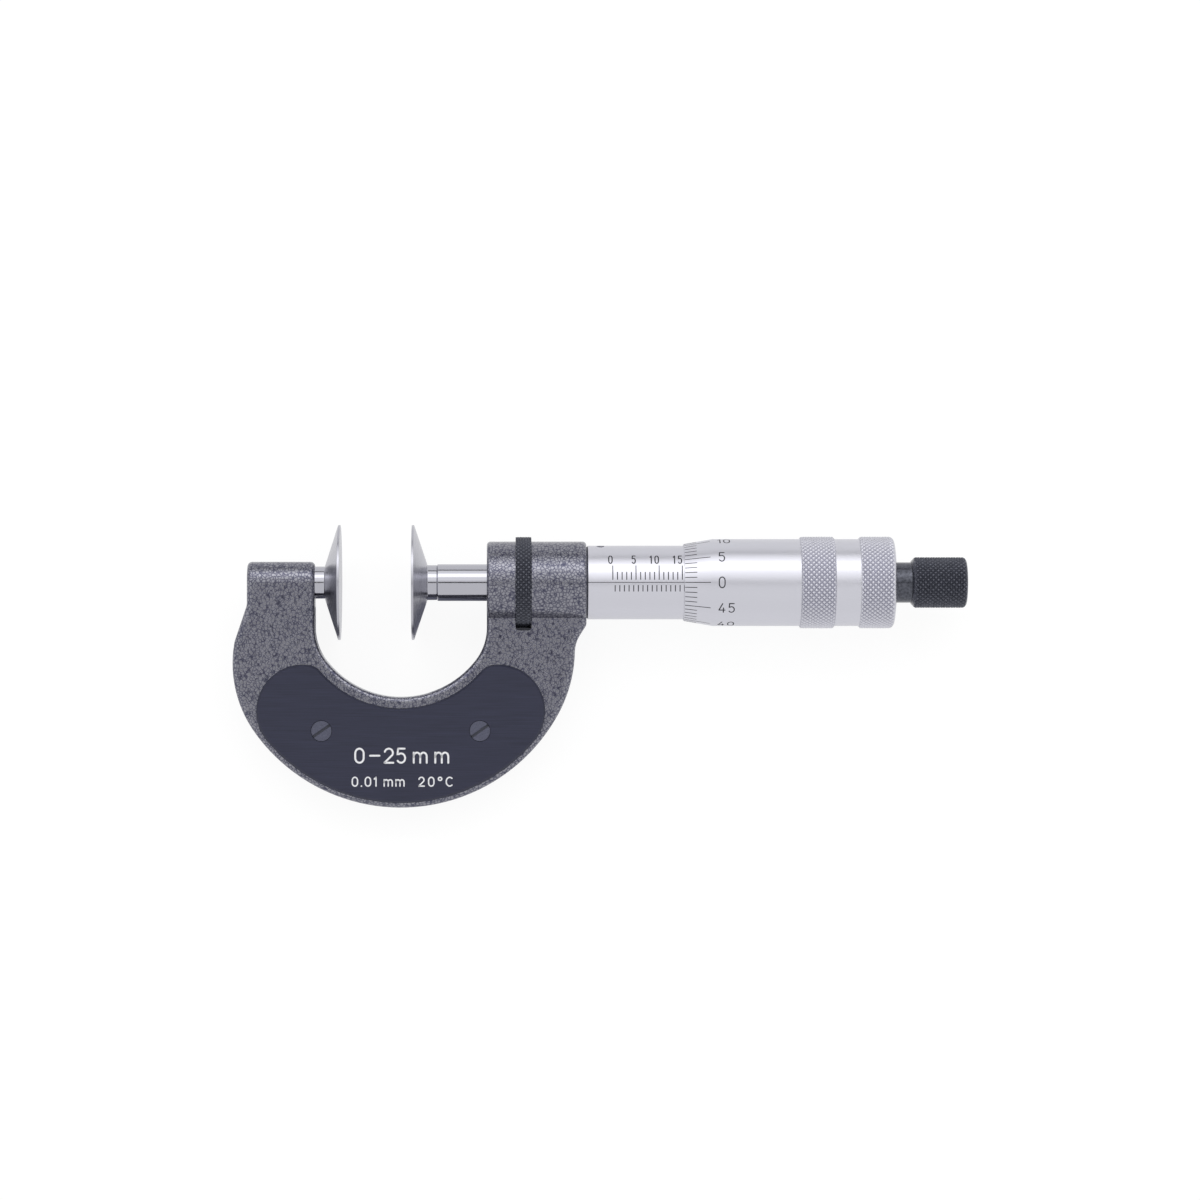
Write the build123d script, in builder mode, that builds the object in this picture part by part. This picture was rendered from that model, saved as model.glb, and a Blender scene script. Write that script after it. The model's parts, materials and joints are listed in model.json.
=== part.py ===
from build123d import *

import math
import os

os.makedirs("parts", exist_ok=True)

# A disc micrometer, 0 to 25 mm, in millimetres, lying on its back as it comes to rest.
# The origin is the centre of the anvil disc's measuring face.
# +X runs along the measuring axis towards the ratchet, and +Z is up.
# The frame is rolled about +X until its back plate and the rims of both discs touch one level surface.

# Measuring
measuring_range = 25.0
reading = 15.5
travel_room = 0.5

# Fits, radial unless said otherwise
running_clearance = 0.03
spindle_clearance = 0.05
sleeve_clearance = 0.1
touch_gap = 0.05

# Discs and spindle
disc_diameter = 25.0
disc_land = 0.5
disc_cone_length = 2.9
anvil_stem_diameter = 7.0
anvil_stem_reach = 5.5
anvil_bore_depth = 10.5
anvil_bore_relief = 0.5
shank_diameter = 7.6
shank_length = 2.1
shank_edge = 0.15
spigot_diameter = 4.0
spigot_length = 6.0
spigot_relief = 0.3
spindle_diameter = 8.0
spindle_length = 57.0
spindle_end_chamfer = 0.3

# Frame, in the plane of its web: X along the measuring axis, Y towards the throat's mouth
web_thickness = 9.0
edge_round = 1.0
head_length = 14.7
head_drop = 4.9
head_notch_round = 3.0
disc_room = 3.4
throat_depth = 24.9
throat_floor_spread = 1.85
throat_corner_radius = 11.7
frame_depth = 48.8
outer_bottom_radius = 38.9
outer_left_radius = 25.8
outer_left_join = 35.6
outer_left_corner_y = -12.8
outer_left_corner_round = 6.0
outer_right_radius = 29.5
outer_right_join = 28.6
shoulder_under_barrel = 0.3
shoulder_round = 1.5
shoulder_slant_fall = 4.0
shoulder_inner_round = 7.0

# Barrel, its clamp slot and its bores
barrel_diameter = 17.8
barrel_length = 21.6
barrel_round = 0.8
front_wall = 3.2
slot_from_front = 6.2
slot_under_ring = 0.5
slot_corner_round = 0.8
slot_mouth_depth = 2.0
slot_floor_gap = 0.25
bush_seat_length = 9.5

# Clamp
ring_above_barrel = 1.0
ring_width = 3.3
ring_side_gap = 0.1
ring_chamfer = 0.3
bush_diameter = 11.0
bush_flange_length = 1.5
bush_flange_clearance = 0.05
bush_slit_width = 0.8
bush_slit_count = 3
bush_slit_length = 8.0
bush_pin_wall = 0.1
bush_pin_depth = 1.8

# Nut sleeve inside the scale sleeve, and the nut that adjusts its thread
nut_sleeve_diameter = 13.4
nut_thread_length = 12.0
nut_slit_width = 0.6
nut_slit_count = 3
nut_slit_length = 9.5
adjusting_thread_diameter = 12.0
adjusting_thread_length = 7.4
adjusting_taper_length = 2.0
adjusting_taper_drop = 0.5
adjusting_nut_under_sleeve = 0.3
adjusting_nut_length = 4.2
adjusting_nut_from_end = 2.6
adjusting_notch_width = 1.5
adjusting_notch_depth = 1.0

# Scale sleeve
sleeve_diameter = 16.0
sleeve_joint_gap = 0.05
joint_groove_width = 0.25
joint_groove_depth = 0.25
sleeve_to_nut_gap = 1.2
sleeve_edge_chamfer = 0.2
zero_line_from_joint = 5.55
spanner_hole_diameter = 1.7
spanner_hole_from_joint = 3.0
spanner_hole_tilt = 12.0

# Guide key, which keeps the spindle from turning
key_length = 3.0
key_width = 2.0
key_side_gap = 0.03
keyway_depth = 1.0
key_head_diameter = 4.4
key_head_inset = 0.3

# Coupling between the spindle and the lead screw
socket_diameter = 5.0
socket_depth = 10.0
ball_diameter = 4.0
groove_diameter = 3.4
groove_width = 1.8
groove_from_mouth = 3.0
coupling_pin_diameter = 1.4
coupling_pin_gap = 0.2
coupling_pin_inset = 0.1

# Lead screw, at the outer diameter of its thread
screw_diameter = 6.5
screw_neck_length = 0.5
collar_diameter = 8.6
collar_length = 1.0
taper_large_diameter = 8.0
taper_small_diameter = 7.0
taper_inset = 0.3
tail_diameter = 4.0
tail_length = 4.0

# Thimble
thimble_edge_wall = 0.25
thimble_tube_wall = 1.35
bevel_length = 6.3
band_height = 0.5
band_edge_chamfer = 0.3
front_band_length = 7.5
band_gap = 5.4
rear_band_length = 7.6
thimble_end_round = 1.2
thimble_wall_length = 3.2

# Ratchet
neck_diameter = 8.8
neck_visible_length = 3.8
neck_inner_length = 3.6
post_diameter = 4.6
post_length = 3.0
tooth_count = 12
tooth_height = 0.5
tooth_clearance = 0.2
tooth_inner_share = 0.5
tail_bore_relief = 0.2
knob_wall = 1.0
knob_length = 12.0
knob_bore_clearance = 0.1
knob_end_wall = 2.8
knob_front_chamfer = 0.8
knob_rear_round = 1.0
pawl_disc_thickness = 1.55
pawl_disc_clearance = 0.05
pawl_lug_width = 1.6
pawl_lug_height = 0.35
pawl_lug_gap = 0.05
spring_wire = 0.5
spring_turns = 3.5
spring_mean_diameter = 7.2
ratchet_screw_diameter = 2.5
ratchet_screw_grip = 4.6
ratchet_head_diameter = 5.0
ratchet_head_height = 1.1
ratchet_head_clearance = 0.2
ratchet_counterbore_depth = 1.4
ratchet_slot_width = 0.6
ratchet_slot_depth = 0.5

# Plates and their screws
plate_thickness = 1.6
pocket_depth = 0.8
pocket_clearance = 0.05
plate_outer_margin = 1.1
plate_inner_margin = 2.4
plate_edge_chamfer = 0.4
lobe_offset = 21.2
lobe_bite = 1.3
lobe_corner_round = 4.0
plate_screw_offset = 17.15
plate_screw_diameter = 2.5
plate_screw_hole_clearance = 0.1
plate_screw_depth = 3.0
plate_screw_relief = 0.2
plate_head_diameter = 4.4
plate_head_height = 1.1
plate_head_inset = 0.1
plate_head_clearance = 0.1
plate_slot_width = 0.6
plate_slot_depth = 0.5
plate_slot_angle = 35.0

# Radii
disc_radius = disc_diameter / 2
spindle_radius = spindle_diameter / 2
spindle_bore = spindle_radius + spindle_clearance
barrel_radius = barrel_diameter / 2
ring_radius = barrel_radius + ring_above_barrel
slot_radius = ring_radius + slot_floor_gap
bush_radius = bush_diameter / 2
nut_sleeve_radius = nut_sleeve_diameter / 2
bush_pin_radius = (nut_sleeve_radius - bush_radius) / 2 - bush_pin_wall
bush_pin_offset = (nut_sleeve_radius + bush_radius) / 2
sleeve_radius = sleeve_diameter / 2
adjusting_nut_radius = sleeve_radius - adjusting_nut_under_sleeve
screw_radius = screw_diameter / 2
thimble_bore = sleeve_radius + sleeve_clearance
thimble_radius = thimble_bore + thimble_tube_wall
band_radius = thimble_radius + band_height
neck_radius = neck_diameter / 2
knob_bore = neck_radius + knob_bore_clearance
knob_radius = knob_bore + knob_wall
tooth_radius = knob_bore - tooth_clearance
half_web = web_thickness / 2

# Places along the measuring axis that stay with the frame
disc_depth = disc_land + disc_cone_length
throat_left = -anvil_stem_reach
throat_right = measuring_range + disc_depth + disc_room
throat_width = throat_right - throat_left
throat_middle = throat_left + throat_width / 2
head_left = throat_left - head_length
barrel_end = throat_right + barrel_length
bush_start = throat_right + front_wall
bush_shoulder = bush_start + bush_seat_length
bush_end = bush_shoulder + bush_flange_length
slot_start = throat_right + slot_from_front
slot_end = slot_start + ring_width + 2 * ring_side_gap
ring_start = slot_start + ring_side_gap
sleeve_start = barrel_end + sleeve_joint_gap
zero_line = sleeve_start + zero_line_from_joint
key_middle = zero_line + key_length / 2

# Places along the measuring axis that move with the spindle
disc_back = reading + disc_depth
spindle_front = disc_back + shank_length
spindle_rear = spindle_front + spindle_length
socket_floor = spindle_rear - socket_depth
ball_middle = socket_floor + ball_diameter / 2
nose_front = socket_floor + ball_diameter + touch_gap
groove_middle = spindle_rear - groove_from_mouth
screw_start = spindle_rear + screw_neck_length
coupling_pin_offset = (groove_diameter + coupling_pin_diameter) / 2 + coupling_pin_gap
coupling_pin_edge = coupling_pin_offset + coupling_pin_diameter / 2
coupling_pin_half = math.sqrt(spindle_radius**2 - coupling_pin_edge**2) - coupling_pin_inset
keyway_start = zero_line - (measuring_range - reading) - travel_room

# The nut's thread lies between where the spindle ends at full opening and the screw's collar when closed
nut_thread_start = spindle_rear + (measuring_range - reading) + travel_room
nut_sleeve_end = nut_thread_start + nut_thread_length
adjusting_nut_end = nut_sleeve_end - adjusting_nut_from_end
adjusting_nut_start = adjusting_nut_end - adjusting_nut_length
sleeve_end = adjusting_nut_start - sleeve_to_nut_gap
thimble_edge = zero_line + reading
thimble_wall = nut_sleeve_end + reading + travel_room + collar_length
thimble_end = thimble_wall + thimble_wall_length
knob_start = thimble_end + neck_visible_length
knob_end = knob_start + knob_length

# Frame outline, in the web's plane
throat_bottom_radius = throat_width / 2 + throat_floor_spread
throat_centre = (throat_middle, throat_bottom_radius - throat_depth)
outer_centre = (throat_middle, outer_bottom_radius - frame_depth)
plate_outer_radius = outer_bottom_radius - plate_outer_margin
plate_inner_radius = throat_bottom_radius + plate_inner_margin
plate_face = half_web - pocket_depth + plate_thickness
plate_bottom = frame_depth - plate_outer_margin - plate_edge_chamfer

# The roll that brings the back plate's lower edge down to the level of the disc rims
roll = math.asin(disc_radius / math.hypot(plate_bottom, plate_face)) - math.atan2(plate_face, plate_bottom)
web_down = (0, -math.cos(roll), -math.sin(roll))
web_front = (0, -math.sin(roll), math.cos(roll))
web_back = (0, math.sin(roll), -math.cos(roll))
web_plane = Plane(origin=(0, 0, 0), x_dir=(1, 0, 0), z_dir=web_front)
underside_plane = Plane(origin=(0, 0, 0), x_dir=(1, 0, 0), z_dir=web_down)


def on_circle(centre, radius, angle):
    """The point of a circle at an angle in degrees."""
    turn = math.radians(angle)
    return (centre[0] + radius * math.cos(turn), centre[1] + radius * math.sin(turn))


def bearing(start, end):
    """The direction from one point to another, in degrees from 0 to 360."""
    return math.degrees(math.atan2(end[1] - start[1], end[0] - start[0])) % 360


def tangent_centre(centre, radius, small_radius, x):
    """The centre, at x, of a smaller circle that touches a circle from inside, below its centre."""
    reach = radius - small_radius
    return (x, centre[1] - math.sqrt(reach**2 - (x - centre[0]) ** 2))


def plate_middle(across, inner_radius):
    """The point, left of the middle line, as far from the plate's outer arc as from an inner arc."""
    half_reach = (plate_outer_radius + inner_radius) / 2
    half_apart = (throat_centre[1] - outer_centre[1]) / 2
    share = 1 - across**2 / (half_reach**2 - half_apart**2)
    return (throat_middle - across, outer_centre[1] + half_apart - half_reach * math.sqrt(share))


def circles_meet(centre_a, radius_a, centre_b, radius_b):
    """The higher of the two points where two circles cross."""
    apart = math.dist(centre_a, centre_b)
    along = (apart**2 + radius_a**2 - radius_b**2) / (2 * apart)
    spread = math.degrees(math.acos(along / radius_a))
    ahead = bearing(centre_a, centre_b)
    points = [on_circle(centre_a, radius_a, ahead + side * spread) for side in (-1, 1)]
    return max(points, key=lambda point: point[1])


def mirrored(point):
    """A point of the web's plane, mirrored in the throat's middle line."""
    return (2 * throat_middle - point[0], point[1])


def arc(centre, radius, start_angle, end_angle):
    """An arc between two angles of a circle, added to the outline that is being drawn."""
    angles = (start_angle, (start_angle + end_angle) / 2, end_angle)
    return ThreePointArc(*(on_circle(centre, radius, angle) for angle in angles))


def frame_outline():
    """The frame's web, seen from the front, up to the measuring axis."""
    corner_x = throat_left + throat_corner_radius
    corner = tangent_centre(throat_centre, throat_bottom_radius, throat_corner_radius, corner_x)
    corner_angle = bearing(throat_centre, corner)
    far_corner = mirrored(corner)
    far_angle = bearing(throat_centre, far_corner)
    left_angle = 180 + outer_left_join
    left = on_circle(outer_centre, outer_bottom_radius - outer_left_radius, left_angle)
    right_angle = 360 - outer_right_join
    right = on_circle(outer_centre, outer_bottom_radius - outer_right_radius, right_angle)
    left_end = 180 - math.degrees(math.asin((outer_left_corner_y - left[1]) / outer_left_radius))
    shoulder_y = -barrel_radius - shoulder_under_barrel
    slant_foot_y = shoulder_y - shoulder_slant_fall
    right_end = math.degrees(math.asin((slant_foot_y - right[1]) / outer_right_radius)) + 360
    left_corner = on_circle(left, outer_left_radius, left_end)
    right_corner = on_circle(right, outer_right_radius, right_end)
    notch = (head_left, -head_drop)
    shoulder = (barrel_end, shoulder_y)
    with BuildSketch() as outline:
        with BuildLine():
            Line((throat_left, 0), (throat_left, corner[1]))
            arc(corner, throat_corner_radius, 180, corner_angle)
            arc(throat_centre, throat_bottom_radius, corner_angle, far_angle)
            arc(far_corner, throat_corner_radius, far_angle, 360)
            Line((throat_right, corner[1]), (throat_right, 0))
            Polyline((throat_right, 0), (barrel_end, 0), shoulder, right_corner)
            arc(right, outer_right_radius, right_end, right_angle)
            arc(outer_centre, outer_bottom_radius, right_angle, left_angle)
            arc(left, outer_left_radius, left_angle, left_end)
            Polyline(left_corner, notch, (head_left, 0), (throat_left, 0))
        make_face()
        rounds = (
            (left_corner, outer_left_corner_round),
            (notch, head_notch_round),
            (shoulder, shoulder_round),
            (right_corner, shoulder_inner_round),
        )
        for point, radius in rounds:
            fillet(outline.vertices().sort_by_distance(point)[0], radius)
    return outline.sketch


def plate_outline(grow):
    """The kidney shape of a plate, seen from the front, grown all round by a distance."""
    inner_radius = plate_inner_radius - grow
    lobe = plate_middle(lobe_offset, plate_inner_radius - lobe_bite)
    lobe_radius = plate_outer_radius - math.dist(lobe, outer_centre)
    far_lobe = mirrored(lobe)
    corner = circles_meet(throat_centre, inner_radius, lobe, lobe_radius + grow)
    far_corner = mirrored(corner)
    outer_start = bearing(outer_centre, lobe)
    outer_end = bearing(outer_centre, far_lobe)
    with BuildSketch() as outline:
        with BuildLine():
            arc(outer_centre, plate_outer_radius + grow, outer_start, outer_end)
            arc(far_lobe, lobe_radius + grow, outer_end, 360 + bearing(far_lobe, far_corner))
            inner_angles = bearing(throat_centre, far_corner), bearing(throat_centre, corner)
            arc(throat_centre, inner_radius, *inner_angles)
            arc(lobe, lobe_radius + grow, bearing(lobe, corner), outer_start)
        make_face()
        for point in (corner, far_corner):
            fillet(outline.vertices().sort_by_distance(point)[0], lobe_corner_round + grow)
    return outline.sketch


def turned(*points):
    """A closed outline of places along the axis and radii, to be turned about the measuring axis."""
    with BuildSketch() as outline:
        with BuildLine():
            Polyline(*points, close=True)
        make_face()
    return outline.sketch


def side_plane(front, height):
    """The web's plane moved out to a height on the front or the back, facing outwards."""
    normal = web_front if front else web_back
    return Plane(origin=(0, 0, 0), x_dir=(1, 0, 0), z_dir=normal).offset(height)


def screw_points(front):
    """The places of a plate's two screws on its own side's plane."""
    x, y = plate_middle(plate_screw_offset, plate_inner_radius)
    side = 1 if front else -1
    return [(x, side * y), (2 * throat_middle - x, side * y)]


def slot_mouth():
    """The part of the clamp slot that is milled deeper into the web's faces, with round lower corners."""
    mouth_drop = ring_radius + slot_under_ring
    with BuildSketch() as outline:
        with Locations((slot_start, -mouth_drop)):
            Rectangle(slot_end - slot_start, mouth_drop, align=(Align.MIN, Align.MIN))
        fillet(outline.vertices().group_by(Axis.Y)[0], slot_corner_round)
    return outline.sketch


def placed_outline(sketch, front, height):
    """A web outline, moved to a height on the front or the back."""
    return web_plane.offset(height if front else -height) * sketch


# Frame: a flat web around the throat, a round-topped anvil head and a barrel for the spindle
with BuildPart() as frame:
    extrude(web_plane * frame_outline(), half_web, both=True)
    rims = frame.faces().filter_by(Axis((0, 0, 0), web_front)).edges()
    fillet([rim for rim in rims if web_plane.to_local_coords(rim @ 0.5).Y < -edge_round], edge_round)
    with BuildSketch(underside_plane) as head_top:
        with Locations(((head_left + throat_left) / 2, 0)):
            Rectangle(head_length, half_web, align=(Align.CENTER, Align.MIN))
        fillet(head_top.vertices().group_by(Axis.Y)[-1], edge_round)
    revolve(axis=Axis.X, revolution_arc=-180)
    with BuildSketch() as barrel_profile:
        with Locations(((throat_right + barrel_end) / 2, 0)):
            Rectangle(barrel_length, barrel_radius, align=(Align.CENTER, Align.MIN))
        fillet(barrel_profile.vertices().group_by(Axis.Y)[-1], barrel_round)
    revolve(axis=Axis.X)
    # The stepped bore holds the spindle, the clamp bush and the nut sleeve
    stepped_bore = turned(
        (throat_right, 0),
        (throat_right, spindle_bore),
        (bush_start, spindle_bore),
        (bush_start, bush_radius),
        (bush_shoulder, bush_radius),
        (bush_shoulder, nut_sleeve_radius),
        (barrel_end, nut_sleeve_radius),
        (barrel_end, 0),
    )
    revolve(stepped_bore, Axis.X, mode=Mode.SUBTRACT)
    with BuildSketch(Plane.YZ.offset(throat_left)):
        Circle(anvil_stem_diameter / 2)
    extrude(amount=-anvil_bore_depth, mode=Mode.SUBTRACT)
    # The clamp ring's slot goes through the barrel and ends in the web, where its floor follows the ring
    ring_slot = turned(
        (slot_start, 0),
        (slot_start, slot_radius),
        (slot_end, slot_radius),
        (slot_end, 0),
    )
    revolve(ring_slot, Axis.X, mode=Mode.SUBTRACT)
    for front in (True, False):
        mouth = placed_outline(slot_mouth(), front, half_web)
        extrude(mouth, slot_mouth_depth, dir=web_back if front else web_front, mode=Mode.SUBTRACT)
    with BuildSketch(Plane.YZ.offset(bush_shoulder)):
        with Locations((bush_pin_offset, 0)):
            Circle(bush_pin_radius)
    extrude(amount=-bush_pin_depth, mode=Mode.SUBTRACT)
    for front in (True, False):
        pocket = placed_outline(plate_outline(pocket_clearance), front, half_web)
        extrude(pocket, pocket_depth, dir=web_back if front else web_front, mode=Mode.SUBTRACT)
        with BuildSketch(side_plane(front, half_web - pocket_depth)):
            with Locations(*screw_points(front)):
                Circle(plate_screw_diameter / 2)
        extrude(amount=-(plate_screw_depth + plate_screw_relief), mode=Mode.SUBTRACT)
frame.part.label = "frame"
export_step(frame.part, "parts/frame.step")

# Anvil: the fixed disc and its stem, turned from one bar and pressed into the head
anvil_stem_end = throat_left - anvil_bore_depth + anvil_bore_relief
with BuildPart() as anvil:
    anvil_profile = turned(
        (0, 0),
        (0, disc_radius),
        (-disc_land, disc_radius),
        (-disc_land - disc_cone_length, anvil_stem_diameter / 2),
        (anvil_stem_end, anvil_stem_diameter / 2),
        (anvil_stem_end, 0),
    )
    revolve(anvil_profile, Axis.X)
anvil.part.label = "anvil"
export_step(anvil.part, "parts/anvil.step")

# Spindle disc: the moving disc, its shank and the spigot that is pressed into the spindle
with BuildPart() as spindle_disc:
    shank_radius = shank_diameter / 2
    spindle_disc_profile = turned(
        (reading, 0),
        (reading, disc_radius),
        (reading + disc_land, disc_radius),
        (disc_back, shank_radius),
        (spindle_front - shank_edge, shank_radius),
        (spindle_front, shank_radius - shank_edge),
        (spindle_front, spigot_diameter / 2),
        (spindle_front + spigot_length, spigot_diameter / 2),
        (spindle_front + spigot_length, 0),
    )
    revolve(spindle_disc_profile, Axis.X)
spindle_disc.part.label = "spindle_disc"
export_step(spindle_disc.part, "parts/spindle_disc.step")

# Spindle: slides without turning, with a keyway along its underside and a socket for the lead screw
with BuildPart() as spindle:
    spindle_profile = turned(
        (spindle_front, spigot_diameter / 2),
        (spindle_front, spindle_radius - spindle_end_chamfer),
        (spindle_front + spindle_end_chamfer, spindle_radius),
        (spindle_rear - spindle_end_chamfer, spindle_radius),
        (spindle_rear, spindle_radius - spindle_end_chamfer),
        (spindle_rear, socket_diameter / 2),
        (socket_floor, socket_diameter / 2),
        (socket_floor, 0),
        (spindle_front + spigot_length + spigot_relief, 0),
        (spindle_front + spigot_length + spigot_relief, spigot_diameter / 2),
    )
    revolve(spindle_profile, Axis.X)
    with BuildSketch(underside_plane.offset(spindle_radius - keyway_depth)):
        with Locations((keyway_start, 0)):
            Rectangle(spindle_rear - keyway_start, key_width, align=(Align.MIN, Align.CENTER))
    extrude(amount=2 * keyway_depth, mode=Mode.SUBTRACT)
    with BuildSketch(underside_plane):
        with Locations((groove_middle, coupling_pin_offset)):
            Circle(coupling_pin_diameter / 2)
    extrude(amount=spindle_diameter, both=True, mode=Mode.SUBTRACT)
spindle.part.label = "spindle"
export_step(spindle.part, "parts/spindle.step")

# Thrust ball: pushes the spindle from the end of the lead screw
with BuildPart() as thrust_ball:
    with Locations((ball_middle, 0, 0)):
        Sphere(ball_diameter / 2)
thrust_ball.part.label = "thrust_ball"
export_step(thrust_ball.part, "parts/thrust_ball.step")

# Coupling pin: lies across the spindle in the lead screw's groove and draws the spindle back
with BuildPart() as coupling_pin:
    with BuildSketch(underside_plane):
        with Locations((groove_middle, coupling_pin_offset)):
            Circle(coupling_pin_diameter / 2)
    extrude(amount=coupling_pin_half, both=True)
coupling_pin.part.label = "coupling_pin"
export_step(coupling_pin.part, "parts/coupling_pin.step")

# Clamp bush: slit so that the clamp ring can close it on the spindle
with BuildPart() as clamp_bush:
    flange_radius = nut_sleeve_radius - bush_flange_clearance
    bush_profile = turned(
        (bush_start, spindle_bore),
        (bush_start, bush_radius),
        (bush_shoulder, bush_radius),
        (bush_shoulder, flange_radius),
        (bush_end, flange_radius),
        (bush_end, spindle_bore),
    )
    revolve(bush_profile, Axis.X)
    with BuildSketch(Plane.YZ.offset(bush_start)):
        with PolarLocations(0, bush_slit_count, start_angle=90):
            Rectangle(bush_diameter, bush_slit_width, align=(Align.MIN, Align.CENTER))
    extrude(amount=bush_slit_length, mode=Mode.SUBTRACT)
    with BuildSketch(Plane.YZ.offset(bush_shoulder)):
        with Locations((bush_pin_offset, 0)):
            Circle(bush_pin_radius)
    extrude(amount=bush_flange_length, mode=Mode.SUBTRACT)
clamp_bush.part.label = "clamp_bush"
export_step(clamp_bush.part, "parts/clamp_bush.step")

# Clamp bush pin: keeps the bush from turning with the ring
with BuildPart() as clamp_bush_pin:
    with BuildSketch(Plane.YZ.offset(bush_shoulder - bush_pin_depth)):
        with Locations((bush_pin_offset, 0)):
            Circle(bush_pin_radius)
    extrude(amount=bush_pin_depth + bush_flange_length)
clamp_bush_pin.part.label = "clamp_bush_pin"
export_step(clamp_bush_pin.part, "parts/clamp_bush_pin.step")

# Clamp ring: turns in the slot on the bush's thread
with BuildPart() as clamp_ring:
    with BuildSketch() as ring_profile:
        with Locations((ring_start, bush_radius + running_clearance)):
            ring_wall = ring_radius - bush_radius - running_clearance
            Rectangle(ring_width, ring_wall, align=(Align.MIN, Align.MIN))
        chamfer(ring_profile.vertices().group_by(Axis.Y)[-1], ring_chamfer)
    revolve(axis=Axis.X)
clamp_ring.part.label = "clamp_ring"
export_step(clamp_ring.part, "parts/clamp_ring.step")

# Nut sleeve: pressed into the barrel, guides the spindle and holds the nut thread at its slit rear end
with BuildPart() as nut_sleeve:
    adjusting_thread_radius = adjusting_thread_diameter / 2
    nut_bore = screw_radius + running_clearance
    nut_sleeve_profile = turned(
        (bush_end, spindle_bore),
        (bush_end, nut_sleeve_radius),
        (nut_sleeve_end - adjusting_thread_length, nut_sleeve_radius),
        (nut_sleeve_end - adjusting_thread_length, adjusting_thread_radius),
        (nut_sleeve_end - adjusting_taper_length, adjusting_thread_radius),
        (nut_sleeve_end, adjusting_thread_radius - adjusting_taper_drop),
        (nut_sleeve_end, nut_bore),
        (nut_thread_start, nut_bore),
        (nut_thread_start, spindle_bore),
    )
    revolve(nut_sleeve_profile, Axis.X)
    with BuildSketch(underside_plane):
        with Locations((key_middle, 0)):
            Circle(key_head_diameter / 2)
    extrude(amount=nut_sleeve_diameter, mode=Mode.SUBTRACT)
    with BuildSketch(Plane.YZ.offset(nut_sleeve_end)):
        with PolarLocations(0, nut_slit_count, start_angle=90):
            Rectangle(nut_sleeve_diameter, nut_slit_width, align=(Align.MIN, Align.CENTER))
    extrude(amount=-nut_slit_length, mode=Mode.SUBTRACT)
nut_sleeve.part.label = "nut_sleeve"
export_step(nut_sleeve.part, "parts/nut_sleeve.step")

# Guide key: a round head in the nut sleeve and a tongue in the spindle's keyway
with BuildPart() as guide_key:
    tongue_root = spindle_radius + key_head_inset
    with BuildSketch(underside_plane.offset(spindle_radius - keyway_depth + touch_gap)):
        with Locations((key_middle, 0)):
            Rectangle(key_length, key_width - 2 * key_side_gap)
    extrude(amount=tongue_root - spindle_radius + keyway_depth - touch_gap)
    with BuildSketch(underside_plane.offset(tongue_root)):
        with Locations((key_middle, 0)):
            Circle(key_head_diameter / 2)
    key_head_top = math.sqrt(nut_sleeve_radius**2 - (key_head_diameter / 2) ** 2)
    extrude(amount=key_head_top - tongue_root)
guide_key.part.label = "guide_key"
export_step(guide_key.part, "parts/guide_key.step")

# Adjusting nut: closes the slit end of the nut sleeve on the thread
with BuildPart() as adjusting_nut:
    adjusting_nut_profile = turned(
        (adjusting_nut_start, adjusting_thread_radius),
        (adjusting_nut_start, adjusting_nut_radius),
        (adjusting_nut_end, adjusting_nut_radius),
        (adjusting_nut_end, adjusting_thread_radius),
    )
    revolve(adjusting_nut_profile, Axis.X)
    with BuildSketch(Plane.YZ.offset(adjusting_nut_end)):
        Rectangle(4 * adjusting_nut_radius, adjusting_notch_width)
    extrude(amount=-adjusting_notch_depth, mode=Mode.SUBTRACT)
adjusting_nut.part.label = "adjusting_nut"
export_step(adjusting_nut.part, "parts/adjusting_nut.step")

# Scale sleeve: slips over the nut sleeve, with a hole for the spanner that sets its zero
with BuildPart() as scale_sleeve:
    groove_end = sleeve_start + joint_groove_width
    sleeve_profile = turned(
        (sleeve_start, nut_sleeve_radius),
        (sleeve_start, sleeve_radius - joint_groove_depth),
        (groove_end, sleeve_radius - joint_groove_depth),
        (groove_end, sleeve_radius),
        (sleeve_end - sleeve_edge_chamfer, sleeve_radius),
        (sleeve_end, sleeve_radius - sleeve_edge_chamfer),
        (sleeve_end, nut_sleeve_radius),
    )
    revolve(sleeve_profile, Axis.X)
    tilt = roll + math.radians(spanner_hole_tilt)
    hole_normal = (0, math.cos(tilt), math.sin(tilt))
    with BuildSketch(Plane(origin=(0, 0, 0), x_dir=(1, 0, 0), z_dir=hole_normal)):
        with Locations((sleeve_start + spanner_hole_from_joint, 0)):
            Circle(spanner_hole_diameter / 2)
    extrude(amount=sleeve_diameter, mode=Mode.SUBTRACT)
scale_sleeve.part.label = "scale_sleeve"
export_step(scale_sleeve.part, "parts/scale_sleeve.step")

# Lead screw: nose in the spindle's socket, thread, collar, taper seat for the thimble, and tail
with BuildPart() as lead_screw:
    nose_radius = socket_diameter / 2 - running_clearance
    groove_front = groove_middle - groove_width / 2
    groove_back = groove_middle + groove_width / 2
    lead_screw_profile = turned(
        (nose_front, 0),
        (nose_front, nose_radius),
        (groove_front, nose_radius),
        (groove_front, groove_diameter / 2),
        (groove_back, groove_diameter / 2),
        (groove_back, nose_radius),
        (screw_start, nose_radius),
        (screw_start, screw_radius),
        (thimble_wall - collar_length, screw_radius),
        (thimble_wall - collar_length, collar_diameter / 2),
        (thimble_wall, collar_diameter / 2),
        (thimble_wall, taper_large_diameter / 2),
        (thimble_end - taper_inset, taper_small_diameter / 2),
        (thimble_end - taper_inset, tail_diameter / 2),
        (thimble_end + tail_length, tail_diameter / 2),
        (thimble_end + tail_length, 0),
    )
    revolve(lead_screw_profile, Axis.X)
lead_screw.part.label = "lead_screw"
export_step(lead_screw.part, "parts/lead_screw.step")

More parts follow.
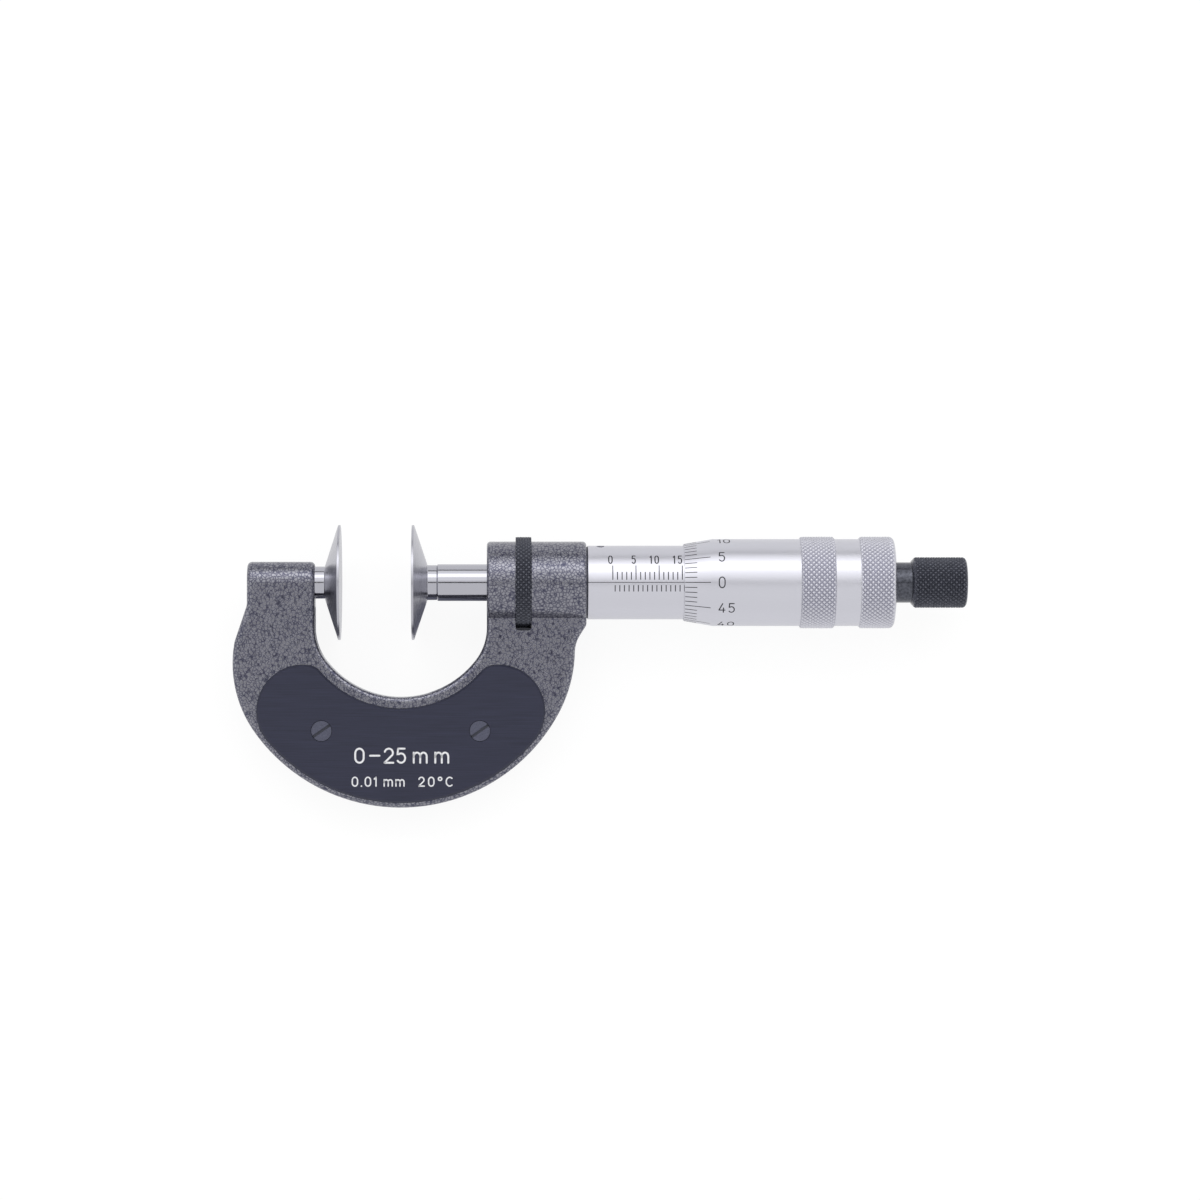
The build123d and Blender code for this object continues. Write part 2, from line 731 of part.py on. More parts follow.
# Thimble: bevelled edge, two knurled bands and an end wall on the screw's taper
with BuildPart() as thimble:
    band_shoulder = band_radius - band_edge_chamfer
    rear_band_start = thimble_end - rear_band_length
    front_band_end = rear_band_start - band_gap
    front_band_start = front_band_end - front_band_length
    taper_slope = (taper_large_diameter - taper_small_diameter) / (thimble_wall_length - taper_inset)
    taper_at_end = taper_small_diameter - taper_slope * taper_inset
    thimble_profile = turned(
        (thimble_edge, thimble_bore),
        (thimble_edge, thimble_bore + thimble_edge_wall),
        (thimble_edge + bevel_length, thimble_radius),
        (front_band_start, thimble_radius),
        (front_band_start, band_shoulder),
        (front_band_start + band_edge_chamfer, band_radius),
        (front_band_end - band_edge_chamfer, band_radius),
        (front_band_end, band_shoulder),
        (front_band_end, thimble_radius),
        (rear_band_start, thimble_radius),
        (rear_band_start, band_shoulder),
        (rear_band_start + band_edge_chamfer, band_radius),
        (thimble_end, band_radius),
        (thimble_end, taper_at_end / 2),
        (thimble_wall, taper_large_diameter / 2),
        (thimble_wall, thimble_bore),
    )
    revolve(thimble_profile, Axis.X)
    rear_edge = thimble.edges().filter_by(GeomType.CIRCLE).group_by(Axis.X)[-1].sort_by(SortBy.RADIUS)[-1]
    fillet(rear_edge, thimble_end_round)
thimble.part.label = "thimble"
export_step(thimble.part, "parts/thimble.step")


def tooth_gap(number, radius, face, deep_side, depth):
    """One saw-tooth gap's triangle at a radius, cut from a face along +X or, with a negative depth, -X."""
    turn = 2 * math.pi * number / tooth_count
    outwards = (0, math.cos(turn), math.sin(turn))
    half_width = radius * math.tan(math.pi / tooth_count)
    with BuildSketch(Plane((face, 0, 0), x_dir=(1, 0, 0), z_dir=outwards).offset(radius)) as gap:
        with BuildLine():
            Polyline((0, -half_width), (depth, deep_side * half_width), (0, half_width), close=True)
        make_face()
    return gap.sketch


def tooth_gaps(face, deep_side, depth):
    """The two end sections of every gap round a ratchet face, to be lofted."""
    radii = (tooth_inner_share * post_diameter / 2, knob_bore)
    return [
        [tooth_gap(number, radius, face, deep_side, depth) for radius in radii]
        for number in range(tooth_count)
    ]


# Ratchet body: the neck that screws on the lead screw's tail, with saw teeth inside the knob
tooth_tip = knob_start + neck_inner_length
tooth_root = tooth_tip - tooth_height
post_end = tooth_tip + post_length
with BuildPart() as ratchet_body:
    ratchet_body_profile = turned(
        (thimble_end, tail_diameter / 2),
        (thimble_end, neck_radius),
        (tooth_root, neck_radius),
        (tooth_root, tooth_radius),
        (tooth_tip, tooth_radius),
        (tooth_tip, post_diameter / 2),
        (post_end, post_diameter / 2),
        (post_end, ratchet_screw_diameter / 2),
        (post_end - ratchet_screw_grip, ratchet_screw_diameter / 2),
        (post_end - ratchet_screw_grip, 0),
        (thimble_end + tail_length + tail_bore_relief, 0),
        (thimble_end + tail_length + tail_bore_relief, tail_diameter / 2),
    )
    revolve(ratchet_body_profile, Axis.X)
    for sections in tooth_gaps(tooth_tip, -1, -tooth_height):
        loft(sections, ruled=True, mode=Mode.SUBTRACT)
    with BuildSketch(Plane.YZ.offset(tooth_root)):
        Circle(post_diameter / 2)
        Circle(ratchet_screw_diameter / 2, mode=Mode.SUBTRACT)
    extrude(amount=post_end - tooth_root)
ratchet_body.part.label = "ratchet_body"
export_step(ratchet_body.part, "parts/ratchet_body.step")

# Pawl disc: turns with the knob and is pressed on the teeth, drawn at the top of a click
pawl_front = tooth_tip + touch_gap
pawl_back = pawl_front + pawl_disc_thickness
pawl_radius = knob_bore - pawl_disc_clearance
with BuildPart() as pawl_disc:
    pawl_profile = turned(
        (pawl_front, post_diameter / 2 + running_clearance),
        (pawl_front, pawl_radius),
        (pawl_back, pawl_radius),
        (pawl_back, post_diameter / 2 + running_clearance),
    )
    revolve(pawl_profile, Axis.X)
    for sections in tooth_gaps(pawl_front, 1, tooth_height):
        loft(sections, ruled=True, mode=Mode.SUBTRACT)
    with BuildSketch(Plane.YZ.offset(pawl_front + tooth_height)):
        Rectangle(2 * (pawl_radius + pawl_lug_height), pawl_lug_width)
        Circle(pawl_radius - pawl_lug_height, mode=Mode.SUBTRACT)
    extrude(amount=pawl_disc_thickness - tooth_height)
pawl_disc.part.label = "pawl_disc"
export_step(pawl_disc.part, "parts/pawl_disc.step")

# Ratchet knob: a knurled cup over the neck, with two keyways for the pawl disc
knob_floor = knob_end - knob_end_wall
with BuildPart() as ratchet_knob:
    screw_hole = ratchet_screw_diameter / 2 + running_clearance
    counterbore_floor = knob_end - ratchet_counterbore_depth
    counterbore = ratchet_head_diameter / 2 + ratchet_head_clearance
    with BuildSketch() as knob_profile:
        with BuildLine():
            Polyline(
                (knob_start, knob_bore),
                (knob_start, knob_radius),
                (knob_end, knob_radius),
                (knob_end, counterbore),
                (counterbore_floor, counterbore),
                (counterbore_floor, screw_hole),
                (knob_floor, screw_hole),
                (knob_floor, knob_bore),
                close=True,
            )
        make_face()
        outer_corners = knob_profile.vertices().group_by(Axis.Y)[-1].sort_by(Axis.X)
        chamfer(outer_corners[0], knob_front_chamfer)
        fillet(knob_profile.vertices().sort_by_distance((knob_end, knob_radius))[0], knob_rear_round)
    revolve(axis=Axis.X)
    with BuildSketch(Plane.YZ.offset(pawl_front)):
        keyway_reach = pawl_radius + pawl_lug_height + pawl_lug_gap
        Rectangle(2 * keyway_reach, pawl_lug_width + 2 * pawl_lug_gap)
        Circle(knob_bore - pawl_lug_gap, mode=Mode.SUBTRACT)
    extrude(amount=knob_floor - pawl_front, mode=Mode.SUBTRACT)
ratchet_knob.part.label = "ratchet_knob"
export_step(ratchet_knob.part, "parts/ratchet_knob.step")

# Ratchet spring: square wire that presses the pawl disc on the teeth from the knob's floor
with BuildPart() as ratchet_spring:
    spring_radius = spring_mean_diameter / 2
    spring_end_gap = spring_wire / 2 + touch_gap
    spring_start = pawl_back + spring_end_gap
    spring_height = knob_floor - pawl_back - 2 * spring_end_gap
    spring_pitch = spring_height / spring_turns
    with BuildLine() as coil:
        Helix(spring_pitch, spring_height, spring_radius, (spring_start, 0, 0), (1, 0, 0))
    with BuildSketch(Plane(origin=coil.line @ 0, x_dir=(1, 0, 0), z_dir=coil.line % 0)):
        Rectangle(spring_wire, spring_wire)
    sweep(path=coil.line, is_frenet=True)
ratchet_spring.part.label = "ratchet_spring"
export_step(ratchet_spring.part, "parts/ratchet_spring.step")

# Ratchet screw: holds the knob on the ratchet body's post
with BuildPart() as ratchet_screw:
    head_start = counterbore_floor + touch_gap
    head_end = head_start + ratchet_head_height
    shank_start = post_end - ratchet_screw_grip
    ratchet_screw_profile = turned(
        (shank_start, 0),
        (shank_start, ratchet_screw_diameter / 2),
        (head_start, ratchet_screw_diameter / 2),
        (head_start, ratchet_head_diameter / 2),
        (head_end, ratchet_head_diameter / 2),
        (head_end, 0),
    )
    revolve(ratchet_screw_profile, Axis.X)
    with BuildSketch(Plane.YZ.offset(head_end)):
        Rectangle(2 * ratchet_head_diameter, ratchet_slot_width)
    extrude(amount=-ratchet_slot_depth, mode=Mode.SUBTRACT)
ratchet_screw.part.label = "ratchet_screw"
export_step(ratchet_screw.part, "parts/ratchet_screw.step")


def plate(front):
    """One dark plate, seated in its pocket, with a counterbore for each screw."""
    floor = half_web - pocket_depth
    outwards = web_front if front else web_back
    with BuildPart() as made:
        extrude(placed_outline(plate_outline(0), front, floor), plate_thickness, dir=outwards)
        rim = made.faces().sort_by(Axis((0, 0, 0), outwards))[-1].edges()
        chamfer(rim, plate_edge_chamfer)
        with BuildSketch(side_plane(front, plate_face)):
            with Locations(*screw_points(front)):
                Circle(plate_screw_diameter / 2 + plate_screw_hole_clearance)
        extrude(amount=-plate_thickness, mode=Mode.SUBTRACT)
        with BuildSketch(side_plane(front, plate_face)):
            with Locations(*screw_points(front)):
                Circle(plate_head_diameter / 2 + plate_head_clearance)
        extrude(amount=-(plate_head_inset + plate_head_height), mode=Mode.SUBTRACT)
    return made.part


def plate_screws(front):
    """The two slotted screws of one plate."""
    head_top = plate_face - plate_head_inset
    head_bottom = head_top - plate_head_height
    shank_bottom = half_web - pocket_depth - plate_screw_depth
    turn = plate_slot_angle if front else -plate_slot_angle
    with BuildPart() as made:
        with BuildSketch(side_plane(front, head_bottom)):
            with Locations(*screw_points(front)):
                Circle(plate_head_diameter / 2)
        extrude(amount=plate_head_height)
        with BuildSketch(side_plane(front, shank_bottom)):
            with Locations(*screw_points(front)):
                Circle(plate_screw_diameter / 2)
        extrude(amount=head_bottom - shank_bottom)
        with BuildSketch(side_plane(front, head_top)):
            with Locations(*screw_points(front)):
                Rectangle(2 * plate_head_diameter, plate_slot_width, rotation=turn)
        extrude(amount=-plate_slot_depth, mode=Mode.SUBTRACT)
    return made.part


# Plates and screws: the same pair on the front and on the back
with BuildPart() as front_plate:
    add(plate(front=True))
front_plate.part.label = "front_plate"
export_step(front_plate.part, "parts/front_plate.step")

with BuildPart() as back_plate:
    add(plate(front=False))
back_plate.part.label = "back_plate"
export_step(back_plate.part, "parts/back_plate.step")

with BuildPart() as front_plate_screws:
    add(plate_screws(front=True))
front_plate_screws.part.label = "front_plate_screws"
export_step(front_plate_screws.part, "parts/front_plate_screws.step")

with BuildPart() as back_plate_screws:
    add(plate_screws(front=False))
back_plate_screws.part.label = "back_plate_screws"
export_step(back_plate_screws.part, "parts/back_plate_screws.step")

print("roll", round(math.degrees(roll), 4), "degrees")
print("frame parts end at", round(nut_sleeve_end, 3), "and the knob at", round(knob_end, 3))
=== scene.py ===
"""A disc micrometer, 0 to 25 mm, with its finishes, knurls, scales and studio.

The file is laid out as an add-on. Run as a script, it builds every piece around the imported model.
All lengths are in metres, so a size in millimetres is written as a number times MM.
"""

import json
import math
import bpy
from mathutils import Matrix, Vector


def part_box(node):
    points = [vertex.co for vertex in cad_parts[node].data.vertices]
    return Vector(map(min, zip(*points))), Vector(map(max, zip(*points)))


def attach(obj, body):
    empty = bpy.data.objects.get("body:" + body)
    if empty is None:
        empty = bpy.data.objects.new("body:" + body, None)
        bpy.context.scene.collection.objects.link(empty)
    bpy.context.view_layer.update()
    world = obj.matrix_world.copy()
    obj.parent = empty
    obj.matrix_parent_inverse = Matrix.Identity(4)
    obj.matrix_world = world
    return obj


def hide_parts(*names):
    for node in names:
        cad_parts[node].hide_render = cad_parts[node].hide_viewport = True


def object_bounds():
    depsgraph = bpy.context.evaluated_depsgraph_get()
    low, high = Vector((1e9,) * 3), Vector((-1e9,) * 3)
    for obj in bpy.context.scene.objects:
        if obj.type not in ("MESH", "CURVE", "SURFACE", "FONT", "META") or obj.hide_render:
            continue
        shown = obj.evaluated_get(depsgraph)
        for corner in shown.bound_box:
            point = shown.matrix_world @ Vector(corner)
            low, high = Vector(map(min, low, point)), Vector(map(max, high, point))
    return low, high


bl_info = {
    "name": "Disc micrometer",
    "version": (1, 0, 0),
    "blender": (4, 5, 0),
    "location": "3D View > Sidebar > Micrometer",
    "description": "Knurls, scales, lettering, finishes and studio of a disc micrometer",
    "category": "Object",
}

import bmesh
import bpy
import numpy as np
from bpy.props import FloatProperty, FloatVectorProperty, IntProperty, PointerProperty
from mathutils import Matrix, Vector

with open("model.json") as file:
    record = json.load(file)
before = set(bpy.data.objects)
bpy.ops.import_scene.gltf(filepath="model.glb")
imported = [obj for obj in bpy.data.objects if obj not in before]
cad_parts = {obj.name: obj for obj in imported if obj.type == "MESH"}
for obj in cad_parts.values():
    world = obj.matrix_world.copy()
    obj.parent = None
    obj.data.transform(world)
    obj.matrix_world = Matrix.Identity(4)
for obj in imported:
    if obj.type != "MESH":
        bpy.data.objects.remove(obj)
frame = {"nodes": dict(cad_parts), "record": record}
cad_low, cad_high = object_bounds()

MM = 0.001
FULL_TURN = 2 * math.pi

# The plate's mount gives the web's directions: front towards the camera, up towards the open throat
plate_mount = next(m for m in frame["record"]["mounts"] if m["name"] == "front_plate_face")
AXIS = Vector((1, 0, 0))
WEB_FRONT = Vector(plate_mount["axis"]).normalized()
WEB_UP = WEB_FRONT.cross(AXIS)
PLATE_FACE = Vector(plate_mount["pos_m"]).dot(WEB_FRONT)
THROAT_MIDDLE = plate_mount["pos_m"][0]


def node_span(node):
    """Where a turned node starts and ends along the measuring axis, and its outer radius."""
    low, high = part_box(node)
    reach = max(math.hypot(v.co.y, v.co.z) for v in frame["nodes"][node].data.vertices)
    return low.x, high.x, reach


# Colours and nodes


def linear_colour(hex_colour):
    """The linear red, green, blue and alpha of an sRGB colour written as #RRGGBB."""
    channels = [int(hex_colour[i : i + 2], 16) / 255 for i in (1, 3, 5)]
    return (*(c / 12.92 if c <= 0.04045 else ((c + 0.055) / 1.055) ** 2.4 for c in channels), 1.0)


def add_node(tree, kind, inputs=None, **settings):
    """A new node with its settings, whose inputs are linked to sockets or set to values."""
    made = tree.nodes.new(kind)
    for name, value in settings.items():
        setattr(made, name, value)
    for socket, value in (inputs or {}).items():
        if isinstance(value, bpy.types.NodeSocket):
            tree.links.new(value, made.inputs[socket])
        else:
            made.inputs[socket].default_value = value
    return made


def new_material(name):
    """A new material with an empty node tree."""
    material = bpy.data.materials.new(name)
    material.use_nodes = True
    material.node_tree.nodes.clear()
    return material


def coat(material, inputs):
    """Ends a material's tree with a principled shader that has these inputs."""
    shader = add_node(material.node_tree, "ShaderNodeBsdfPrincipled", inputs)
    add_node(material.node_tree, "ShaderNodeOutputMaterial", {"Surface": shader.outputs["BSDF"]})
    return material


def along_and_out(tree, place):
    """Coordinates of a turned piece: along the measuring axis and out from it."""
    across = add_node(tree, "ShaderNodeVectorMath", {0: place, 1: (0, 1, 1)}, operation="MULTIPLY")
    out = add_node(tree, "ShaderNodeVectorMath", {0: across.outputs[0]}, operation="LENGTH")
    along = add_node(tree, "ShaderNodeSeparateXYZ", {"Vector": place}).outputs["X"]
    return add_node(tree, "ShaderNodeCombineXYZ", {"X": along, "Y": out.outputs["Value"]}).outputs[0]


def grain(tree, place, length, width, detail):
    """Noise with grains of a length along the measuring axis and a width across it."""
    scale = (1 / length, 1 / width, 1 / width)
    stretched = add_node(tree, "ShaderNodeMapping", {"Vector": place, "Scale": scale})
    noise = {"Vector": stretched.outputs["Vector"], "Scale": 1.0, "Detail": detail}
    return add_node(tree, "ShaderNodeTexNoise", noise).outputs["Fac"]


WHITE_LIGHT = {"Color": linear_colour("#FFFFFF")}
# Nearly all of a noise's values lie in this range, which is stretched over the one that is wanted
NOISE_RANGE = {"From Min": 0.3, "From Max": 0.7}
# Places of the mix node's sockets when it mixes colours: its factor, its two colours and its result
FACTOR, DARK, LIGHT, MIXED = 0, 6, 7, 2


# Finishes

# Each with how metallic it is, the names of its colours' settings, its roughness, and the size and
# depth of its grain. Where there are two colours or two values of roughness, the grain varies between
# them, and shades say how far it goes from the first colour to the second
FINISHES = {
    # Aluminium, brushed and then anodised a dark blue-black: faint lines spread the lamps into a broad,
    # dull sheen. They are drawn 0.12 mm wide, coarser than real ones, so that they show
    "brushed_anodising": {
        "metallic": 0.35, "colours": ["plate_dark", "plate_light"], "roughness": [0.36, 0.48],
        "size": 0.12 * MM, "length": 9 * MM, "depth": 0.004 * MM,
    },
    # White printing ink, a thin and dry film: flat, barely any gloss, a little uneven where it is thin
    "screen_ink": {
        "metallic": 0, "colours": ["ink_thin", "ink_full"], "roughness": [0.6], "size": 0.3 * MM, "detail": 2,
    },
    # Hardened steel, ground round between centres: the wheel's fine rings show lamps as sharp bands
    # with slightly combed edges. Real rings are too fine for a render, so these are 0.05 mm apart
    "round_ground_steel": {
        "metallic": 1, "colours": ["steel"], "roughness": [0.06, 0.13],
        "size": 0.05 * MM, "rings": True, "depth": 0.0008 * MM,
    },
    # Hardened steel, ground flat and conical: scratches of the wheel's face blur what the discs mirror
    # into a soft shade. They are drawn 0.3 mm apart, coarser than real ones, so that they show
    "disc_steel": {
        "metallic": 1, "colours": ["steel"], "roughness": [0.26, 0.32],
        "size": 0.3 * MM, "rings": True, "depth": 0.001 * MM,
    },
    # Satin chrome, plated on steel blasted with fine beads: the frosted grain spreads the lamps into one
    # soft band without glare on the scale. Its pits are drawn a little coarser than the beads leave them
    "frosted_chrome": {
        "metallic": 1, "colours": ["chrome"], "roughness": [0.3, 0.36],
        "size": 0.09 * MM, "detail": 2, "depth": 0.002 * MM,
    },
    # Hot black oxide on turned and knurled steel, wiped with oil: its tone varies at random between near
    # black and a rubbed grey with a metallic sheen. The knurls' hollows are darker only through the groove
    # finish, whose colour is painted shade
    "oiled_black_oxide": {
        "metallic": 0.65, "colours": ["oxide_dark", "oxide_light"], "shades": [0.15, 0.85],
        "roughness": [0.14, 0.22], "size": 0.5 * MM,
    },
    # Blackened steel screws, faced on a lathe: they catch a little more light than the plate, and oil
    # clouds them
    "faced_black_steel": {
        "metallic": 0.6, "colours": ["screw_dark", "screw_light"], "roughness": [0.38, 0.5],
        "size": 0.15 * MM,
    },
    # Black paint rubbed into the engraved scale: matt, a shade greyer where it sits thin in the cut
    "scale_paint": {
        "metallic": 0, "colours": ["paint_full", "paint_thin"], "roughness": [0.6], "gloss": 0.25,
        "size": 0.2 * MM, "detail": 2,
    },
}
# Rougher than what is around them, like metal torn by a knurling wheel or a cutter, and darker in colour: the
# darker colour is painted shade in grooves, slots and holes, so the grooves draw crossing lines and the slot
# stays quiet
for groove_shade, metallic in (("chrome_groove", 0.9), ("oxide_groove", 0.4), ("milled_slot", 0.2)):
    FINISHES[groove_shade] = {
        "metallic": metallic, "colours": [groove_shade], "roughness": [0.5, 0.65],
        "size": 0.1 * MM, "detail": 2, "depth": 0.01 * MM,
    }
# Bare metal as it leaves the lathe, inside: the feed marks run round it as fine rings
for turned in ("turned_steel", "turned_brass"):
    FINISHES[f"lathe_{turned}"] = {
        "metallic": 1, "colours": [turned], "roughness": [0.22, 0.36],
        "size": 0.08 * MM, "detail": 2, "rings": True, "depth": 0.003 * MM,
    }


def grained(
    name, metallic, colours, roughness, size, length=0, detail=3, rings=False, depth=0, shades=(0, 1), gloss=0
):
    """A finish from the table, whose grain varies its colour, its roughness and its height.

    The grain is as long along the measuring axis as it is wide, unless it has a length. With rings, it
    lies round the axis, as the tool leaves it on a turned piece.
    """
    settings = bpy.context.scene.micrometer.finishes
    colours = [getattr(settings, colour) for colour in colours]
    material = new_material(name)
    tree = material.node_tree
    place = add_node(tree, "ShaderNodeTexCoord").outputs["Object"]
    noise = grain(tree, along_and_out(tree, place) if rings else place, length or size, size, detail)
    inputs = {"Metallic": metallic, "Base Color": colours[0], "Roughness": roughness[0]}
    if gloss:
        inputs["Specular IOR Level"] = gloss
    if len(roughness) == 2:
        ends = {"Value": noise, "To Min": roughness[0], "To Max": roughness[1], **NOISE_RANGE}
        inputs["Roughness"] = add_node(tree, "ShaderNodeMapRange", ends).outputs["Result"]
    if len(colours) == 2:
        ends = {"Value": noise, "To Min": shades[0], "To Max": shades[1], **NOISE_RANGE}
        shade = add_node(tree, "ShaderNodeMapRange", ends).outputs["Result"]
        mixed = {FACTOR: shade, DARK: colours[0], LIGHT: colours[1]}
        inputs["Base Color"] = add_node(tree, "ShaderNodeMix", mixed, data_type="RGBA").outputs[MIXED]
    if depth:
        inputs["Normal"] = add_node(tree, "ShaderNodeBump", {"Height": noise, "Distance": depth}).outputs[0]
    return coat(material, inputs)


def baked_hammertone():
    """Baked hammertone enamel on the forged frame."""
    # Flake gathers in small light domes with dark furrows between, under a soft gloss
    settings = bpy.context.scene.micrometer.finishes
    furrow, dome_height = 0.2, 0.015 * MM
    patch, patch_strength = 0.9 * MM, 0.25
    material = new_material("baked_hammertone")
    tree = material.node_tree
    place = add_node(tree, "ShaderNodeTexCoord").outputs["Object"]
    pattern = {"Vector": place, "Scale": 1 / settings.enamel_cell}
    cells = add_node(tree, "ShaderNodeTexVoronoi", pattern, feature="DISTANCE_TO_EDGE").outputs["Distance"]
    slope = {"Value": cells, "From Min": 0.0, "From Max": furrow, "To Min": 0.0, "To Max": 1.0}
    domes = add_node(tree, "ShaderNodeMapRange", slope).outputs["Result"]
    noise = grain(tree, place, patch, patch, 2)
    ends = {"Value": noise, "To Min": -patch_strength, "To Max": patch_strength, **NOISE_RANGE}
    patches = add_node(tree, "ShaderNodeMapRange", ends).outputs["Result"]
    shade = add_node(tree, "ShaderNodeMath", {0: domes, 1: patches}, operation="ADD").outputs[0]
    mixed = {FACTOR: shade, DARK: settings.enamel_dark, LIGHT: settings.enamel_light}
    colour = add_node(tree, "ShaderNodeMix", mixed, data_type="RGBA").outputs[MIXED]
    bump = add_node(tree, "ShaderNodeBump", {"Height": domes, "Distance": dome_height}).outputs[0]
    return coat(material, {"Roughness": 0.22, "Metallic": 0.85, "Base Color": colour, "Normal": bump})


def finish(name):
    """A finish by its name, made when it is first asked for."""
    made = bpy.data.materials.get(name)
    if made:
        return made
    return grained(name, **FINISHES[name]) if name in FINISHES else baked_hammertone()


# Meshes and objects


def to_mesh(bm, name):
    """The mesh of a bmesh, which is then freed."""
    mesh = bpy.data.meshes.new(name)
    bm.to_mesh(mesh)
    bm.free()
    return mesh


def add_to(bm, drawing):
    """Moves the whole of one bmesh into another."""
    part = to_mesh(drawing, "part")
    bm.from_mesh(part)
    bpy.data.meshes.remove(part)


def add_object(name, data):
    """A new object in the scene."""
    made = bpy.data.objects.new(name, data)
    bpy.context.scene.collection.objects.link(made)
    return made


# Turning and knurling

CIRCLE_STEPS = 256
ROUND_STEPS = 5
SHARP_ANGLE = math.radians(50)
# How near two points are the same, lie in the same plane, or lie in a plane that cuts
SAME_POINT, SAME_PLANE, ON_CUT = 0.0001 * MM, 0.0005 * MM, 0.00001 * MM


def rounded(corners, closed=False):
    """An outline of (place, radius, round) corners with each round drawn as an arc."""
    outline = []
    for number, (place, radius, size) in enumerate(corners):
        corner = Vector((place, radius, 0))
        if not size or (not closed and number in (0, len(corners) - 1)):
            outline.append((place, radius))
            continue
        before = Vector((*corners[number - 1][:2], 0)) - corner
        after = Vector((*corners[(number + 1) % len(corners)][:2], 0)) - corner
        half_angle = before.angle(after) / 2
        inwards = (before.normalized() + after.normalized()).normalized()
        centre = corner + inwards * size / math.sin(half_angle)
        start = corner + before.normalized() * size / math.tan(half_angle) - centre
        end = corner + after.normalized() * size / math.tan(half_angle) - centre
        for step in range(ROUND_STEPS + 1):
            point = centre + start.slerp(end, step / ROUND_STEPS).normalized() * size
            outline.append((point.x, point.y))
    return outline


def turned_mesh(corners, closed=False):
    """An outline of corners turned about the measuring axis, from axis to axis or closed as a ring."""
    bm = bmesh.new()
    verts = [bm.verts.new((x, 0, radius)) for x, radius in rounded(corners, closed)]
    edges = [bm.edges.new(pair) for pair in zip(verts, verts[1:])]
    if closed:
        edges.append(bm.edges.new((verts[-1], verts[0])))
    turn = {"cent": (0, 0, 0), "axis": (1, 0, 0), "angle": FULL_TURN, "steps": CIRCLE_STEPS}
    bmesh.ops.spin(bm, geom=verts + edges, use_merge=True, **turn)
    bmesh.ops.remove_doubles(bm, verts=bm.verts, dist=SAME_POINT)
    bmesh.ops.recalc_face_normals(bm, faces=bm.faces)
    return bm


def round_axis(x, turn, radius):
    """The point at a place, an angle from the web's front towards its top, and a radius."""
    return AXIS * x + (WEB_FRONT * math.cos(turn) + WEB_UP * math.sin(turn)) * radius


def add_diamonds(bm, start, end, radius, knurl):
    """Truncated pyramids in rows round a cylinder, crossing the ends of a stretch."""
    count = round(FULL_TURN * radius / knurl.pitch)
    half_pitch = FULL_TURN * radius / count / 2
    half_turn = math.pi / count
    lean = (knurl.groove_share - knurl.shoulder_share) / (1 - knurl.shoulder_share)
    # From the groove up to the flat tip: a ring's size as a share of the pitch, and its depth below the tips
    rings = (
        (1.0, knurl.depth),
        (knurl.groove_share, knurl.shoulder_drop + lean * (knurl.depth - knurl.shoulder_drop)),
        (knurl.shoulder_share, knurl.shoulder_drop),
        (knurl.tip_share, 0.0),
    )
    reach = math.ceil((end - start) / 2 / half_pitch) + 1
    middle = (start + end) / 2
    for column in range(-reach, reach + 1):
        x = middle + column * half_pitch
        for row in range(count):
            turn = (2 * row + column % 2) * half_turn
            inner = None
            for share, drop in rings:
                corners = [
                    (x - share * half_pitch, turn),
                    (x, turn + share * half_turn),
                    (x + share * half_pitch, turn),
                    (x, turn - share * half_turn),
                ]
                ring = [bm.verts.new(round_axis(*corner, radius - drop)) for corner in corners]
                if inner:
                    for i in range(4):
                        face = bm.faces.new((inner[i - 1], inner[i], ring[i], ring[i - 1]))
                        # Faces between the groove's floor and its edge take the piece's second finish, whose
                        # darker colour is painted shade in the hollows
                        face.material_index = int(share == knurl.groove_share)
                inner = ring
            bm.faces.new(inner)


def ends_at(edge, x):
    """Whether an open edge lies in the plane across the axis at a place."""
    return edge.is_boundary and all(abs(v.co.x - x) < SAME_PLANE for v in edge.verts)


def set_radius(vert, x, radius):
    """Moves a point to a place along the axis and a radius, at its own angle."""
    arm = Vector((0, vert.co.y, vert.co.z)).normalized() * radius
    vert.co = (x, arm.y, arm.z)


def knurled_stretch(bm, envelope, radius, knurl):
    """Diamonds cut to an envelope of places and radii, and the edge loops at its two ends."""
    places = [x for x, _ in envelope]
    limits = [limit for _, limit in envelope]
    start, end = places[0], places[-1]
    band = bmesh.new()
    add_diamonds(band, start, end, radius, knurl)
    bmesh.ops.remove_doubles(band, verts=band.verts, dist=SAME_POINT)
    for x in places:
        everything = band.verts[:] + band.edges[:] + band.faces[:]
        cut = {"geom": everything, "plane_co": (x, 0, 0), "plane_no": (1, 0, 0), "dist": ON_CUT}
        bmesh.ops.bisect_plane(band, clear_inner=x == start, clear_outer=x == end, **cut)
    for vert in band.verts:
        limit = np.interp(vert.co.x, places, limits)
        reach = math.hypot(vert.co.y, vert.co.z)
        at_end = min(abs(vert.co.x - start), abs(vert.co.x - end)) < SAME_PLANE
        if at_end or reach > limit:
            set_radius(vert, vert.co.x, limit)
    add_to(bm, band)
    return [[edge for edge in bm.edges if ends_at(edge, x)] for x in (start, end)]


def carry_on(bm, loop, outline):
    """Draws an edge loop on along an outline of places and radii, and gives the last loop."""
    for x, radius in outline:
        made = bmesh.ops.extrude_edge_only(bm, edges=loop)["geom"]
        loop = [part for part in made if isinstance(part, bmesh.types.BMEdge)]
        for face in (part for part in made if isinstance(part, bmesh.types.BMFace)):
            face.material_index = 0
        for vert in (part for part in made if isinstance(part, bmesh.types.BMVert)):
            set_radius(vert, x, radius)
    return loop


def knurled_end(start, end, radius, size, floor):
    """The rounded end of a knurled piece, split where it falls below the grooves' floor."""
    arc = rounded([(start, radius, 0), (end, radius, size), (end, 0, 0)])[1:-1]
    knurled = [point for point in arc if point[1] > floor]
    plain = [point for point in arc if point[1] <= floor]
    before, after = knurled[-1], plain[0]
    share = (before[1] - floor) / (before[1] - after[1])
    return [*knurled, (before[0] + share * (after[0] - before[0]), floor)], plain


